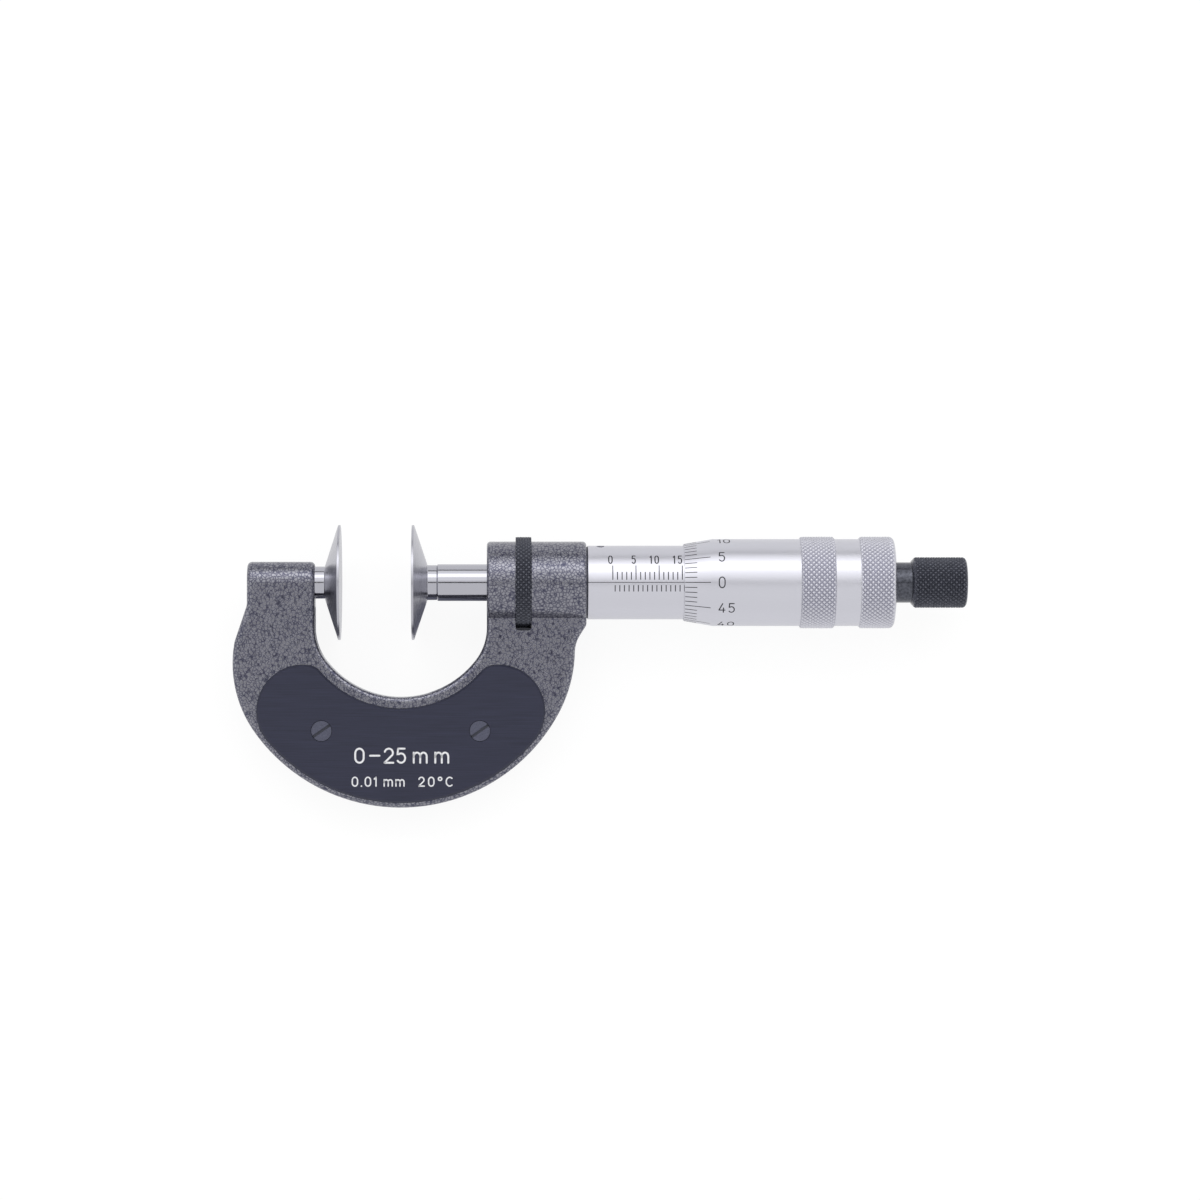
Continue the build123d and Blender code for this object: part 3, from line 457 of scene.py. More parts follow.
def knurled_mesh(stretches, links, radius, knurl):
    """A closed turned piece: knurled stretches, each joined to the next by a plain outline."""
    bm = bmesh.new()
    ends = [knurled_stretch(bm, envelope, radius, knurl) for envelope in stretches]
    for number, outline in enumerate(links):
        loop = carry_on(bm, ends[number][1], outline)
        bridge = bmesh.ops.bridge_loops(bm, edges=loop + ends[(number + 1) % len(ends)][0])
        for face in bridge["faces"]:
            face.material_index = 0
    bmesh.ops.recalc_face_normals(bm, faces=bm.faces)
    return bm


def hand_over(bm, name, materials, body, stands_for=()):
    """Makes a mesh into a piece that rides on a body and stands for the nodes it replaces."""
    for face in bm.faces:
        face.smooth = True
    for edge in bm.edges:
        edge.smooth = edge.is_manifold and edge.calc_face_angle() < SHARP_ANGLE
    piece = add_object(name, to_mesh(bm, name))
    for material in materials:
        piece.data.materials.append(finish(material))
    piece.modifiers.new("Face weighted normals", "WEIGHTED_NORMAL").keep_sharp = True
    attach(piece, body)
    if stands_for:
        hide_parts(*stands_for)
    return piece


def dress(node, material):
    """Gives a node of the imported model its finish."""
    for place in frame["nodes"][node].material_slots:
        place.material = finish(material)


def dress_within(node, material, picked):
    """Gives the faces of a node whose corners all pass a test another finish."""
    mesh = frame["nodes"][node].data
    mesh.materials.append(finish(material))
    for face in mesh.polygons:
        if all(picked(mesh.vertices[number].co) for number in face.vertices):
            face.material_index = len(mesh.materials) - 1


# Engraving

# A curved stroke's fewest steps, the angle of a step in degrees, and the steps of a stroke's round end
FEWEST_STEPS, STEP_ANGLE, CAP_STEPS = 4, 15, 6
# A stroke whose ends are nearer than this share of its width is closed
CLOSED_SHARE = 0.01


def ellipse(centre, width, height, start, end):
    """A stroke along an ellipse between two angles in degrees."""
    steps = max(FEWEST_STEPS, round(abs(end - start) / STEP_ANGLE))
    turns = [math.radians(start + (end - start) * step / steps) for step in range(steps + 1)]
    return [
        (centre[0] + width / 2 * math.cos(turn), centre[1] + height / 2 * math.sin(turn))
        for turn in turns
    ]


def arch(left, width, top):
    """An upright hoop of a small letter m, from its stem over and down to the line."""
    hoop = ellipse((left + width / 2, top * 0.62), width, top * 0.76, 180, 0)
    return [(left, top * 0.55), *hoop, (left + width, 0)]


# Single-stroke letters of a pantograph engraver, one unit high: width, then strokes
LETTERS = {
    "0": (
        0.6,
        [[*ellipse((0.3, 0.65), 0.6, 0.7, 0, 180), *ellipse((0.3, 0.35), 0.6, 0.7, 180, 360), (0.6, 0.65)]],
    ),
    "1": (0.2, [[(0.2, 0), (0.2, 1)], [(0.2, 1), (0, 0.8)]]),
    "2": (0.62, [[*ellipse((0.3, 0.7), 0.58, 0.6, 165, -30), (0, 0)], [(0, 0), (0.62, 0)]]),
    "3": (0.56, [ellipse((0.27, 0.75), 0.5, 0.5, 150, -90), ellipse((0.27, 0.26), 0.56, 0.52, 90, -150)]),
    "4": (0.62, [[(0.38, 1), (0, 0.27)], [(0, 0.27), (0.62, 0.27)], [(0.47, 0.52), (0.47, 0)]]),
    "5": (
        0.58,
        [[(0.54, 1), (0.08, 1)], [(0.08, 1), (0.04, 0.55), *ellipse((0.29, 0.33), 0.58, 0.66, 125, -145)]],
    ),
    "m": (0.92, [[(0, 0), (0, 0.72)], arch(0, 0.46, 0.72), arch(0.46, 0.46, 0.72)]),
    "C": (0.68, [ellipse((0.4, 0.5), 0.8, 1, 50, 310)]),
    "°": (0.4, [ellipse((0.2, 0.82), 0.4, 0.36, 0, 360)]),
    "–": (0.96, [[(0.2, 0.5), (0.86, 0.5)]]),
    ".": (0.04, [[(0, 0), (0.04, 0)]]),
    " ": (0.09, []),
}


def add_stroke(bm, points, width):
    """A flat ribbon of even width along a path of points, with round ends."""
    path = [Vector(point) for point in points]
    closed = (path[0] - path[-1]).length < CLOSED_SHARE * width
    if closed:
        path.pop()
    sides = []
    for number, point in enumerate(path):
        last = len(path) - 1
        before = path[number - 1] if closed or number else point
        after = path[(number + 1) % len(path)] if closed or number < last else point
        along = (after - before).normalized()
        across = Vector((-along.y, along.x)) * width / 2
        sides.append([bm.verts.new((*side, 0)) for side in (point + across, point - across)])
    following = sides[1:] + sides[:1] if closed else sides[1:]
    for (left, right), (next_left, next_right) in zip(sides, following):
        bm.faces.new((left, right, next_right, next_left))
    if closed:
        return
    for tip, beside, (left, right) in ((path[0], path[1], sides[0]), (path[-1], path[-2], sides[-1])):
        outwards = (tip - beside).normalized() * width / 2
        across = Vector((left.co.x, left.co.y)) - tip
        turns = [math.pi * step / CAP_STEPS for step in range(1, CAP_STEPS)]
        arc = [tip + across * math.cos(turn) + outwards * math.sin(turn) for turn in turns]
        bm.faces.new([left, *(bm.verts.new((*point, 0)) for point in arc), right])


def add_words(bm, words, left, baseline, height, stroke, squeeze, gap):
    """Words in single strokes, from their left edge and baseline, with a gap between letters."""
    pen = 0.0
    for letter in words:
        width, strokes = LETTERS[letter]
        for points in strokes:
            placed = [(left + (pen + x * squeeze) * height, baseline + y * height) for x, y in points]
            add_stroke(bm, placed, stroke)
        pen += (width + gap) * squeeze


def words_width(words, height, squeeze, gap):
    """How wide words come out."""
    widths = [LETTERS[letter][0] for letter in words]
    return (sum(widths) + gap * (len(words) - 1)) * squeeze * height


def add_bar(bm, left, right, low, high):
    """A flat bar with square ends."""
    corners = ((left, low), (right, low), (right, high), (left, high))
    bm.faces.new([bm.verts.new((x, y, 0)) for x, y in corners])


def lay_flat(drawing, scales):
    """Gives a flat drawing its thickness: mostly sunk, and proud by the paint's height."""
    bmesh.ops.recalc_face_normals(drawing, faces=drawing.faces)
    for face in drawing.faces:
        if face.normal.z < 0:
            face.normal_flip()
    made = bmesh.ops.extrude_face_region(drawing, geom=drawing.faces[:])["geom"]
    tops = [part for part in made if isinstance(part, bmesh.types.BMVert)]
    for vert in drawing.verts:
        vert.co.z = -scales.paint_depth
    for vert in tops:
        vert.co.z = scales.paint_height
    bmesh.ops.recalc_face_normals(drawing, faces=drawing.faces)


def wrap(bm, drawing, scales, radius_at, turn=0.0):
    """Adds a flat drawing to a mesh, laid round the measuring axis at an angle."""
    lows = [vert.co.y for vert in drawing.verts]
    cut = math.floor(min(lows) / scales.wrap_step) * scales.wrap_step
    while cut < max(lows):
        everything = drawing.verts[:] + drawing.edges[:] + drawing.faces[:]
        bmesh.ops.bisect_plane(drawing, geom=everything, plane_co=(0, cut, 0), plane_no=(0, 1, 0))
        cut += scales.wrap_step
    lay_flat(drawing, scales)
    for vert in drawing.verts:
        x, across, height = vert.co
        radius = radius_at(x)
        vert.co = round_axis(x, turn + across / radius, radius + height)
    add_to(bm, drawing)


# Settings


def length_property(name, description, millimetres):
    """A length setting, from its default in millimetres."""
    default = millimetres * MM
    return FloatProperty(name=name, description=description, default=default, unit="LENGTH", precision=6)


def power_property(name, description, watts):
    """A lamp's power."""
    return FloatProperty(name=name, description=description, default=watts, unit="POWER")


def share_property(name, description, default):
    """A setting that is a share of something else."""
    return FloatProperty(name=name, description=description, default=default, subtype="FACTOR")


def colour_property(name, description, hex_colour):
    """A colour setting that starts from an sRGB hex value."""
    default = linear_colour(hex_colour)
    return FloatVectorProperty(
        name=name, description=description, default=default, size=4, subtype="COLOR", min=0, max=1
    )


class MicrometerKnurl(bpy.types.PropertyGroup):
    """The diamond knurl of the clamp ring, the thimble's bands and the ratchet knob."""

    pitch: length_property(
        "Pitch", "Distance between neighbouring diamonds, round the piece and along it", 1.13
    )
    depth: length_property("Depth", "How deep the grooves are below the tips", 0.34)
    shoulder_share: share_property(
        "Shoulder size", "Size of a diamond where its flanks turn over, as a share of the pitch", 0.5
    )
    shoulder_drop: length_property("Shoulder drop", "How far the shoulder lies below the tips", 0.08)
    # Below this ring the faces take the groove finish, whose darker colour is painted shade
    groove_share: share_property(
        "Groove edge", "Size of a diamond where the dull groove begins, as a share of the pitch", 0.7
    )
    tip_share: share_property("Tip size", "Size of a diamond's flat tip, as a share of the pitch", 0.26)


class MicrometerScales(bpy.types.PropertyGroup):
    """Marks and lettering of the sleeve, the thimble and the plate."""

    mark_width: length_property("Mark width", "Width of the sleeve's marks", 0.2)
    index_width: length_property("Index line width", "Width of the line along the sleeve", 0.13)
    long_mark: length_property("Long mark", "Length of the sleeve's mark at every fifth millimetre", 3.2)
    short_mark: length_property("Short mark", "Length of the sleeve's other millimetre marks", 1.72)
    half_mark: length_property(
        "Half mark", "Length of the sleeve's half-millimetre marks, below the index line", 1.4
    )
    index_gap: length_property("Index gap", "Distance from the index line to the marks on both sides", 0.58)
    sleeve_numeral: length_property(
        "Sleeve numeral height", "Height of the numerals above the long marks", 2.05
    )
    thimble_numeral: length_property("Thimble numeral height", "Height of the numerals behind the bevel", 2.3)
    numeral_stroke: length_property("Numeral stroke", "Width of a numeral's engraved stroke", 0.25)
    short_division: length_property("Short division", "Length of the thimble's divisions from its edge", 2.7)
    long_division: length_property(
        "Long division", "Length of every fifth division from the thimble's edge", 5.6
    )
    division_width: length_property("Division width", "Width of the thimble's divisions", 0.16)
    divisions: IntProperty(name="Divisions", description="Number of divisions round the thimble", default=50)
    paint_height: length_property(
        "Paint height", "How far marks and lettering stand proud of their surface", 0.012
    )
    paint_depth: length_property("Paint depth", "How far marks and lettering reach below their surface", 0.04)
    wrap_step: length_property(
        "Wrap step", "Longest straight stretch of a mark that is laid round a cylinder", 0.35
    )
    plate_stroke: length_property(
        "Plate stroke", "Width of the strokes of the plate's larger lettering", 0.41
    )


class MicrometerFinishes(bpy.types.PropertyGroup):
    """Colours of the finishes, and the size of the enamel's cells."""

    enamel_dark: colour_property("Enamel furrows", "The enamel's dark furrows", "#424356")
    enamel_light: colour_property("Enamel domes", "The enamel's light domes", "#8B8B93")
    enamel_cell: length_property("Enamel cell", "Size of the hammertone enamel's cells", 0.7)
    plate_dark: colour_property("Plate dark", "The plate between its brushed lines", "#242637")
    plate_light: colour_property("Plate light", "The plate's brushed lines", "#2E3045")
    ink_thin: colour_property("Ink thin", "The lettering's ink where it lies thin", "#D9DADF")
    ink_full: colour_property("Ink full", "The lettering's ink where it covers", "#F2F2F4")
    steel: colour_property("Ground steel", "The discs and the spindle", "#B0B0B8")
    chrome: colour_property("Satin chrome", "The sleeve and the thimble", "#C9C9D1")
    # The next three colours are darker than what is around them: painted shade in grooves, slots and holes
    chrome_groove: colour_property("Chrome grooves", "Grooves of the thimble's knurl", "#C0C0CA")
    oxide_groove: colour_property("Oxide grooves", "Grooves of the black knurls, and screw slots", "#4C4E59")
    milled_slot: colour_property("Milled slot", "The slot that the clamp ring turns in", "#55565F")
    oxide_dark: colour_property("Oxide dark", "Black oxide where it is thick", "#2F3139")
    oxide_light: colour_property("Oxide light", "Black oxide where it is rubbed", "#62646E")
    screw_dark: colour_property("Screw dark", "Blackened screw heads where they are oily", "#464756")
    screw_light: colour_property("Screw light", "Blackened screw heads where they are dry", "#5E6071")
    paint_full: colour_property("Paint full", "Scale paint where it fills the cut", "#1A1A1F")
    paint_thin: colour_property("Paint thin", "Scale paint where it lies thin", "#36363E")
    turned_steel: colour_property("Turned steel", "Steel pieces inside", "#A9AAB0")
    turned_brass: colour_property("Turned brass", "Brass pieces inside", "#B9975B")


class MicrometerStudio(bpy.types.PropertyGroup):
    """Camera, lamps and floor."""

    camera_distance: length_property(
        "Camera distance", "Distance of the camera from the measuring axis's plane", 1050
    )
    camera_along: length_property("Camera along", "Where the camera stands, along the measuring axis", 33)
    lens: FloatProperty(name="Lens", description="Focal length, in millimetres", default=144.9, unit="CAMERA")
    aim_along: length_property("Aim along", "Middle of the picture, along the measuring axis", 56.4)
    aim_below: length_property("Aim below", "Middle of the picture, below the measuring axis", 3.8)
    main_power: power_property("Main lamp", "Power of the large lamp", 4.4)
    core_power: power_property("Core lamp", "Power of the large lamp's bright core", 2.8)
    ambient: share_property("Ambient", "How strongly the room lights dull surfaces, where 1 is white", 0.75)


class MicrometerSettings(bpy.types.PropertyGroup):
    """All the settings of the disc micrometer."""

    knurl: PointerProperty(type=MicrometerKnurl)
    scales: PointerProperty(type=MicrometerScales)
    finishes: PointerProperty(type=MicrometerFinishes)
    studio: PointerProperty(type=MicrometerStudio)


# Pieces

# From a disc's face to where its cone meets the stem
DISC_CONE = 3.4 * MM
# Every fifth mark of a scale is longer and has a numeral
NUMBERED = 5


class MICROMETER_OT_frame(bpy.types.Operator):
    """Finish the frame, its plates and their screws"""

    bl_idname = "micrometer.frame"
    bl_label = "Frame and plates"
    # How far the slot's sides lie from the ring's, and its floor from the axis in shares of its radius
    side_gap, slot_share = 0.45 * MM, 1.15
    # A screw's slot starts deeper than this under its head
    slot_top = 0.1 * MM

    def execute(self, context):
        dress("frame", "baked_hammertone")
        start, end, radius = node_span("clamp_ring")

        def in_slot(point):
            near_ring = math.hypot(point.y, point.z) < self.slot_share * radius
            return near_ring and start - self.side_gap < point.x < end + self.side_gap

        # The slot's faces take a duller finish whose darker colour is painted shade in the slot
        dress_within("frame", "milled_slot", in_slot)
        for side, outwards in (("front", WEB_FRONT), ("back", -WEB_FRONT)):
            dress(f"{side}_plate", "brushed_anodising")
            screws = f"{side}_plate_screws"
            dress(screws, "faced_black_steel")
            head = max(vertex.co.dot(outwards) for vertex in frame["nodes"][screws].data.vertices)
            top = head - self.slot_top
            # Below the head's top, in the screw's slot, the darker oxide groove colour is painted shade
            dress_within(screws, "oxide_groove", lambda point: point.dot(outwards) < top)
        return {"FINISHED"}


class MICROMETER_OT_inside(bpy.types.Operator):
    """Finish the pieces that lie inside"""

    bl_idname = "micrometer.inside"
    bl_label = "Inner pieces"

    def execute(self, context):
        dress("adjusting_nut", "lathe_turned_brass")
        steel = ("clamp_bush", "clamp_bush_pin", "nut_sleeve", "guide_key", "lead_screw")
        for node in (*steel, "thrust_ball", "coupling_pin", "pawl_disc", "ratchet_spring"):
            dress(node, "lathe_turned_steel")
        dress("ratchet_body", "oiled_black_oxide")
        dress("ratchet_screw", "faced_black_steel")
        return {"FINISHED"}


def turn_disc(node, body, face, stem, back, rest):
    """Turns a disc: its face, its rim, its cone back to the stem, and the rest of its corners.

    Back is 1 where the cone lies towards the ratchet, and -1 where it lies away from it.
    """
    land, face_round, rim_round, stem_round = 0.5 * MM, 0.06 * MM, 0.12 * MM, 0.2 * MM
    radius = node_span(node)[2]
    corners = [
        (face, 0, 0),
        (face, radius, face_round),
        (face + back * land, radius, rim_round),
        (face + back * DISC_CONE, stem, stem_round),
        *rest,
    ]
    bm = turned_mesh(corners)
    # The stem is round ground, and what lies a little beyond its radius is the disc
    disc_start = 1.05 * stem
    for side in bm.faces:
        middle = side.calc_center_median()
        side.material_index = int(math.hypot(middle.y, middle.z) > disc_start)
    materials = ["round_ground_steel", "disc_steel"]
    hand_over(bm, f"{node}_turned", materials, body, [node])


class MICROMETER_OT_anvil(bpy.types.Operator):
    """Turn the anvil: a disc with a conical back on a short stem"""

    bl_idname = "micrometer.anvil"
    bl_label = "Anvil"

    def execute(self, context):
        start, face, _ = node_span("anvil")
        stem, end_round = 3.5 * MM, 0.2 * MM
        turn_disc("anvil", "frame", face, stem, -1, [(start, stem, end_round), (start, 0, 0)])
        return {"FINISHED"}


class MICROMETER_OT_spindle(bpy.types.Operator):
    """Turn the moving disc with its shank, and the ground spindle behind it"""

    bl_idname = "micrometer.spindle"
    bl_label = "Spindle and disc"

    def execute(self, context):
        face, spigot_end, _ = node_span("spindle_disc")
        front, rear, radius = node_span("spindle")
        shank, shank_round = 3.8 * MM, 0.15 * MM
        spigot, spigot_round = 2 * MM, 0.1 * MM
        rest = [
            (front, shank, shank_round),
            (front, spigot, 0),
            (spigot_end, spigot, spigot_round),
            (spigot_end, 0, 0),
        ]
        turn_disc("spindle_disc", "spindle", face, shank, 1, rest)
        front_round, rear_round = 0.25 * MM, 0.3 * MM
        socket, socket_end = 2.5 * MM, rear - 10 * MM
        rod = [
            (spigot_end, 0, 0),
            (spigot_end, spigot, 0),
            (front, spigot, 0),
            (front, radius, front_round),
            (rear, radius, rear_round),
            (rear, socket, 0),
            (socket_end, socket, 0),
            (socket_end, 0, 0),
        ]
        materials = ["round_ground_steel"]
        hand_over(turned_mesh(rod), "spindle_ground", materials, "spindle", ["spindle"])
        return {"FINISHED"}


class MICROMETER_OT_clamp_ring(bpy.types.Operator):
    """Knurl the clamp ring in the slot of the barrel"""

    bl_idname = "micrometer.clamp_ring"
    bl_label = "Clamp ring"
    fit, chamfer, bore = 0.06 * MM, 0.12 * MM, 5.53 * MM

    def execute(self, context):
        knurl = context.scene.micrometer.knurl
        start, end, radius = node_span("clamp_ring")
        # A close fit in its slot, so that no light shows past the ring's sides
        start, end = start - self.fit, end + self.fit
        rim = radius - self.chamfer
        envelope = [(start, rim), (start + self.chamfer, radius), (end - self.chamfer, radius), (end, rim)]
        bm = knurled_mesh([envelope], [[(end, self.bore), (start, self.bore)]], radius, knurl)
        # The knurl's grooves take the second finish, whose darker colour is painted shade
        materials = ["oiled_black_oxide", "oxide_groove"]
        hand_over(bm, "clamp_ring_knurled", materials, "clamp_ring", ["clamp_ring"])
        return {"FINISHED"}


class MICROMETER_OT_scale_sleeve(bpy.types.Operator):
    """Turn the scale sleeve with its spanner hole, and engrave its scale"""

    bl_idname = "micrometer.scale_sleeve"
    bl_label = "Scale sleeve"
    bore = 6.7 * MM
    # The groove beside the barrel, as wide as deep, and the rounds of the sleeve's two edges
    groove, edge_round, end_round = 0.25 * MM, 0.05 * MM, 0.2 * MM
    # From the sleeve's start: the spanner hole and the zero mark
    hole_place, zero_place = 3 * MM, 5.55 * MM
    hole_radius, hole_turn = 0.85 * MM, math.radians(78)
    # Place among the sleeve's finishes of the one inside the spanner hole
    hole_finish = 2
    longest_reading = 25
    # How far a numeral stands over its mark, and left of it as a share of a millimetre
    numeral_lift, numeral_left = 0.53 * MM, 0.12
    letter_form = {"squeeze": 0.6, "gap": 0.65}

    def execute(self, context):
        scales = context.scene.micrometer.scales
        start, end, radius = node_span("scale_sleeve")
        groove_end, groove_floor = start + self.groove, radius - self.groove
        corners = [
            (start, self.bore, 0),
            (start, groove_floor, 0),
            (groove_end, groove_floor, 0),
            (groove_end, radius, self.edge_round),
            (end, radius, self.end_round),
            (end, self.bore, 0),
        ]
        bm = turned_mesh(corners, closed=True)
        # The groove is what lies just below the edge's round and no farther along than its own side. Its
        # faces take the dark oxide groove colour, a painted shadow in the gap beside the barrel
        groove_top, groove_side = radius - 1.2 * self.edge_round, groove_end + 0.2 * self.edge_round
        for face in bm.faces:
            middle = face.calc_center_median()
            below_round = math.hypot(middle.y, middle.z) < groove_top
            face.material_index = int(below_round and middle.x < groove_side)
        # The spanner hole's wall takes the third finish, duller than the chrome and slightly darker in
        # colour, as painted shade
        materials = ["frosted_chrome", "oxide_groove", "chrome_groove"]
        piece = hand_over(bm, "scale_sleeve_turned", materials, "frame", ["scale_sleeve"])
        self.bore_spanner_hole(context, piece, start + self.hole_place, radius)
        zero = start + self.zero_place
        self.engrave(scales, radius, "scale_marks", self.marks(scales, start, zero))
        self.engrave(scales, radius, "scale_numerals", self.numerals(scales, zero))
        return {"FINISHED"}

    def bore_spanner_hole(self, context, piece, x, radius):
        """Bores the hole for the spanner that sets the zero, near the sleeve's top."""
        hole = bmesh.new()
        size = {"segments": 64, "radius1": self.hole_radius, "radius2": self.hole_radius, "depth": radius}
        bmesh.ops.create_cone(hole, cap_ends=True, **size)
        for face in hole.faces:
            face.material_index = self.hole_finish
        turn = round_axis(0, self.hole_turn, 1).to_track_quat("Z", "Y").to_matrix().to_4x4()
        place = Matrix.Translation(round_axis(x, self.hole_turn, radius))
        bmesh.ops.transform(hole, matrix=place @ turn, verts=hole.verts)
        cutter = add_object("spanner_hole", to_mesh(hole, "spanner_hole"))
        cut = piece.modifiers.new("Spanner hole", "BOOLEAN")
        cut.object = cutter
        cut.solver = "EXACT"
        piece.modifiers.move(len(piece.modifiers) - 1, 0)
        depsgraph = context.evaluated_depsgraph_get()
        bored = bpy.data.meshes.new_from_object(piece.evaluated_get(depsgraph))
        piece.modifiers.clear()
        piece.data = bored
        bpy.data.objects.remove(cutter)

    def engrave(self, scales, radius, name, drawing):
        """Lays a flat drawing round the sleeve as a piece of its own."""
        bm = bmesh.new()
        wrap(bm, drawing, scales, lambda x: radius)
        hand_over(bm, name, ["scale_paint"], "frame")

    def marks(self, scales, start, zero):
        """The index line, and the marks at every millimetre and half millimetre."""
        half, line = scales.mark_width / 2, scales.index_width / 2
        above, below = scales.index_gap, -scales.index_gap
        drawing = bmesh.new()
        add_bar(drawing, start + self.groove, zero + (self.longest_reading + 1) * MM, -line, line)
        for number in range(self.longest_reading + 1):
            x = zero + number * MM
            length = scales.short_mark if number % NUMBERED else scales.long_mark
            add_bar(drawing, x - half, x + half, above, above + length)
            if number < self.longest_reading:
                between = x + 0.5 * MM
                add_bar(drawing, between - half, between + half, below - scales.half_mark, below)
        return drawing

    def numerals(self, scales, zero):
        """A numeral over each long mark, a little to its left."""
        height = scales.sleeve_numeral
        baseline = scales.index_gap + scales.long_mark + self.numeral_lift
        drawing = bmesh.new()
        for number in range(0, self.longest_reading + 1, NUMBERED):
            words = str(number)
            right = zero + (number - self.numeral_left) * MM
            left = right - words_width(words, height, **self.letter_form)
            add_words(drawing, words, left, baseline, height, scales.numeral_stroke, **self.letter_form)
        return drawing


class MICROMETER_OT_thimble(bpy.types.Operator):
    """Turn and knurl the thimble, and engrave its divisions"""

    bl_idname = "micrometer.thimble"
    bl_label = "Thimble"
    # Its bore is wider than the sleeve by the clearance, and its edge is a thin lip before the bevel
    clearance, lip, lip_round, bevel = 0.1 * MM, 0.25 * MM, 0.05 * MM, 6.3 * MM
    # From the rear: a knurled band, a plain one and a knurled one, which stand proud of it
    rear_length, plain_length, front_length, proud = 7.6 * MM, 5.4 * MM, 7.5 * MM, 0.5 * MM
    # Its end wall sits on the lead screw's taper
    wall, taper_end, taper_start, end_round = 3.2 * MM, 3.5 * MM, 4 * MM, 1.2 * MM
    # How far the divisions start from the edge, and the numerals from the bevel
    division_start, numeral_gap = 0.1 * MM, 1.1 * MM
    letter_form = {"squeeze": 0.9, "gap": 0.4}

    def execute(self, context):
        settings = context.scene.micrometer
        knurl = settings.knurl
        edge, end, band = node_span("thimble")
        bore = node_span("scale_sleeve")[2] + self.clearance
        edge_radius = bore + self.lip
        radius = band - self.proud
        bevel_end = edge + self.bevel
        floor = band - knurl.depth
        rear_start = end - self.rear_length
        front_end = rear_start - self.plain_length
        front_start = front_end - self.front_length
        rear_knurl, plain_end = knurled_end(rear_start, end, band, self.end_round, floor)
        front_band = [
            (front_start, floor),
            (front_start + knurl.depth, band),
            (front_end - knurl.depth, band),
            (front_end, floor),
        ]
        rear_band = [(rear_start, floor), (rear_start + knurl.depth, band), *rear_knurl]
        between = [(front_end, radius), (rear_start, radius)]
        lip = [(edge, bore, 0), (edge, edge_radius, self.lip_round), (bevel_end, radius, 0)]
        round_front = [
            *plain_end,
            (end, self.taper_end),
            (end - self.wall, self.taper_start),
            (end - self.wall, bore),
            (edge, bore),
            *rounded(lip)[1:],
            (front_start, radius),
        ]
        bm = knurled_mesh([front_band, rear_band], [between, round_front], band, knurl)
        # The knurl's grooves take the second finish, whose slightly darker colour is painted shade
        materials = ["frosted_chrome", "chrome_groove"]
        hand_over(bm, "thimble_knurled", materials, "thimble", ["thimble"])

        def radius_at(x):
            return float(np.interp(x, [edge, bevel_end], [edge_radius, radius]))

        self.engrave_divisions(settings.scales, edge, radius_at)
        self.engrave_numerals(settings.scales, bevel_end, radius_at)
        return {"FINISHED"}

    def engrave_divisions(self, scales, edge, radius_at):
        """Marks round the bevel, every fifth one longer."""
        bm = bmesh.new()
        half = scales.division_width / 2
        for number in range(scales.divisions):
            length = scales.short_division if number % NUMBERED else scales.long_division
            drawing = bmesh.new()
            add_bar(drawing, edge + self.division_start, edge + length, -half, half)
            wrap(bm, drawing, scales, radius_at, FULL_TURN * number / scales.divisions)
        hand_over(bm, "thimble_divisions", ["scale_paint"], "thimble")

    def engrave_numerals(self, scales, bevel_end, radius_at):
        """A numeral behind every fifth division."""
        bm = bmesh.new()
        left, height = bevel_end + self.numeral_gap, scales.thimble_numeral
        for number in range(0, scales.divisions, NUMBERED):
            drawing = bmesh.new()
            stroke = scales.numeral_stroke
            add_words(drawing, str(number), left, -height / 2, height, stroke, **self.letter_form)
            wrap(bm, drawing, scales, radius_at, FULL_TURN * number / scales.divisions)
        hand_over(bm, "thimble_numerals", ["scale_paint"], "thimble")


class MICROMETER_OT_ratchet_knob(bpy.types.Operator):
    """Knurl the ratchet knob"""

    bl_idname = "micrometer.ratchet_knob"
    bl_label = "Ratchet knob"
    # From the front: its chamfer, and the bore that runs on the ratchet body's neck
    chamfer, bore = 0.8 * MM, 4.5 * MM
    # From the end: its round, the recess of the screw's head, and the wall with the screw's hole
    end_round, recess, recess_depth, recess_chamfer = 1 * MM, 2.7 * MM, 1.4 * MM, 0.15 * MM
    screw_hole, wall = 1.28 * MM, 2.8 * MM

    def execute(self, context):
        knurl = context.scene.micrometer.knurl
        start, end, radius = node_span("ratchet_knob")
        floor = radius - knurl.depth
        knurled, plain_end = knurled_end(start, end, radius, self.end_round, floor)
        front = start + self.chamfer
        envelope = [(front - knurl.depth, floor), (front, radius), *knurled]
        recess_floor, wall = end - self.recess_depth, end - self.wall
        outline = [
            *plain_end,
            (end, self.recess + self.recess_chamfer),
            (end - self.recess_chamfer, self.recess),
            (recess_floor, self.recess),
            (recess_floor, self.screw_hole),
            (wall, self.screw_hole),
            (wall, self.bore),
            (start, self.bore),
            (start, radius - self.chamfer),
        ]
        bm = knurled_mesh([envelope], [outline], radius, knurl)
        # The knurl's grooves take the second finish, whose darker colour is painted shade
        materials = ["oiled_black_oxide", "oxide_groove"]
        hand_over(bm, "ratchet_knob_knurled", materials, "ratchet_knob", ["ratchet_knob"])
        return {"FINISHED"}


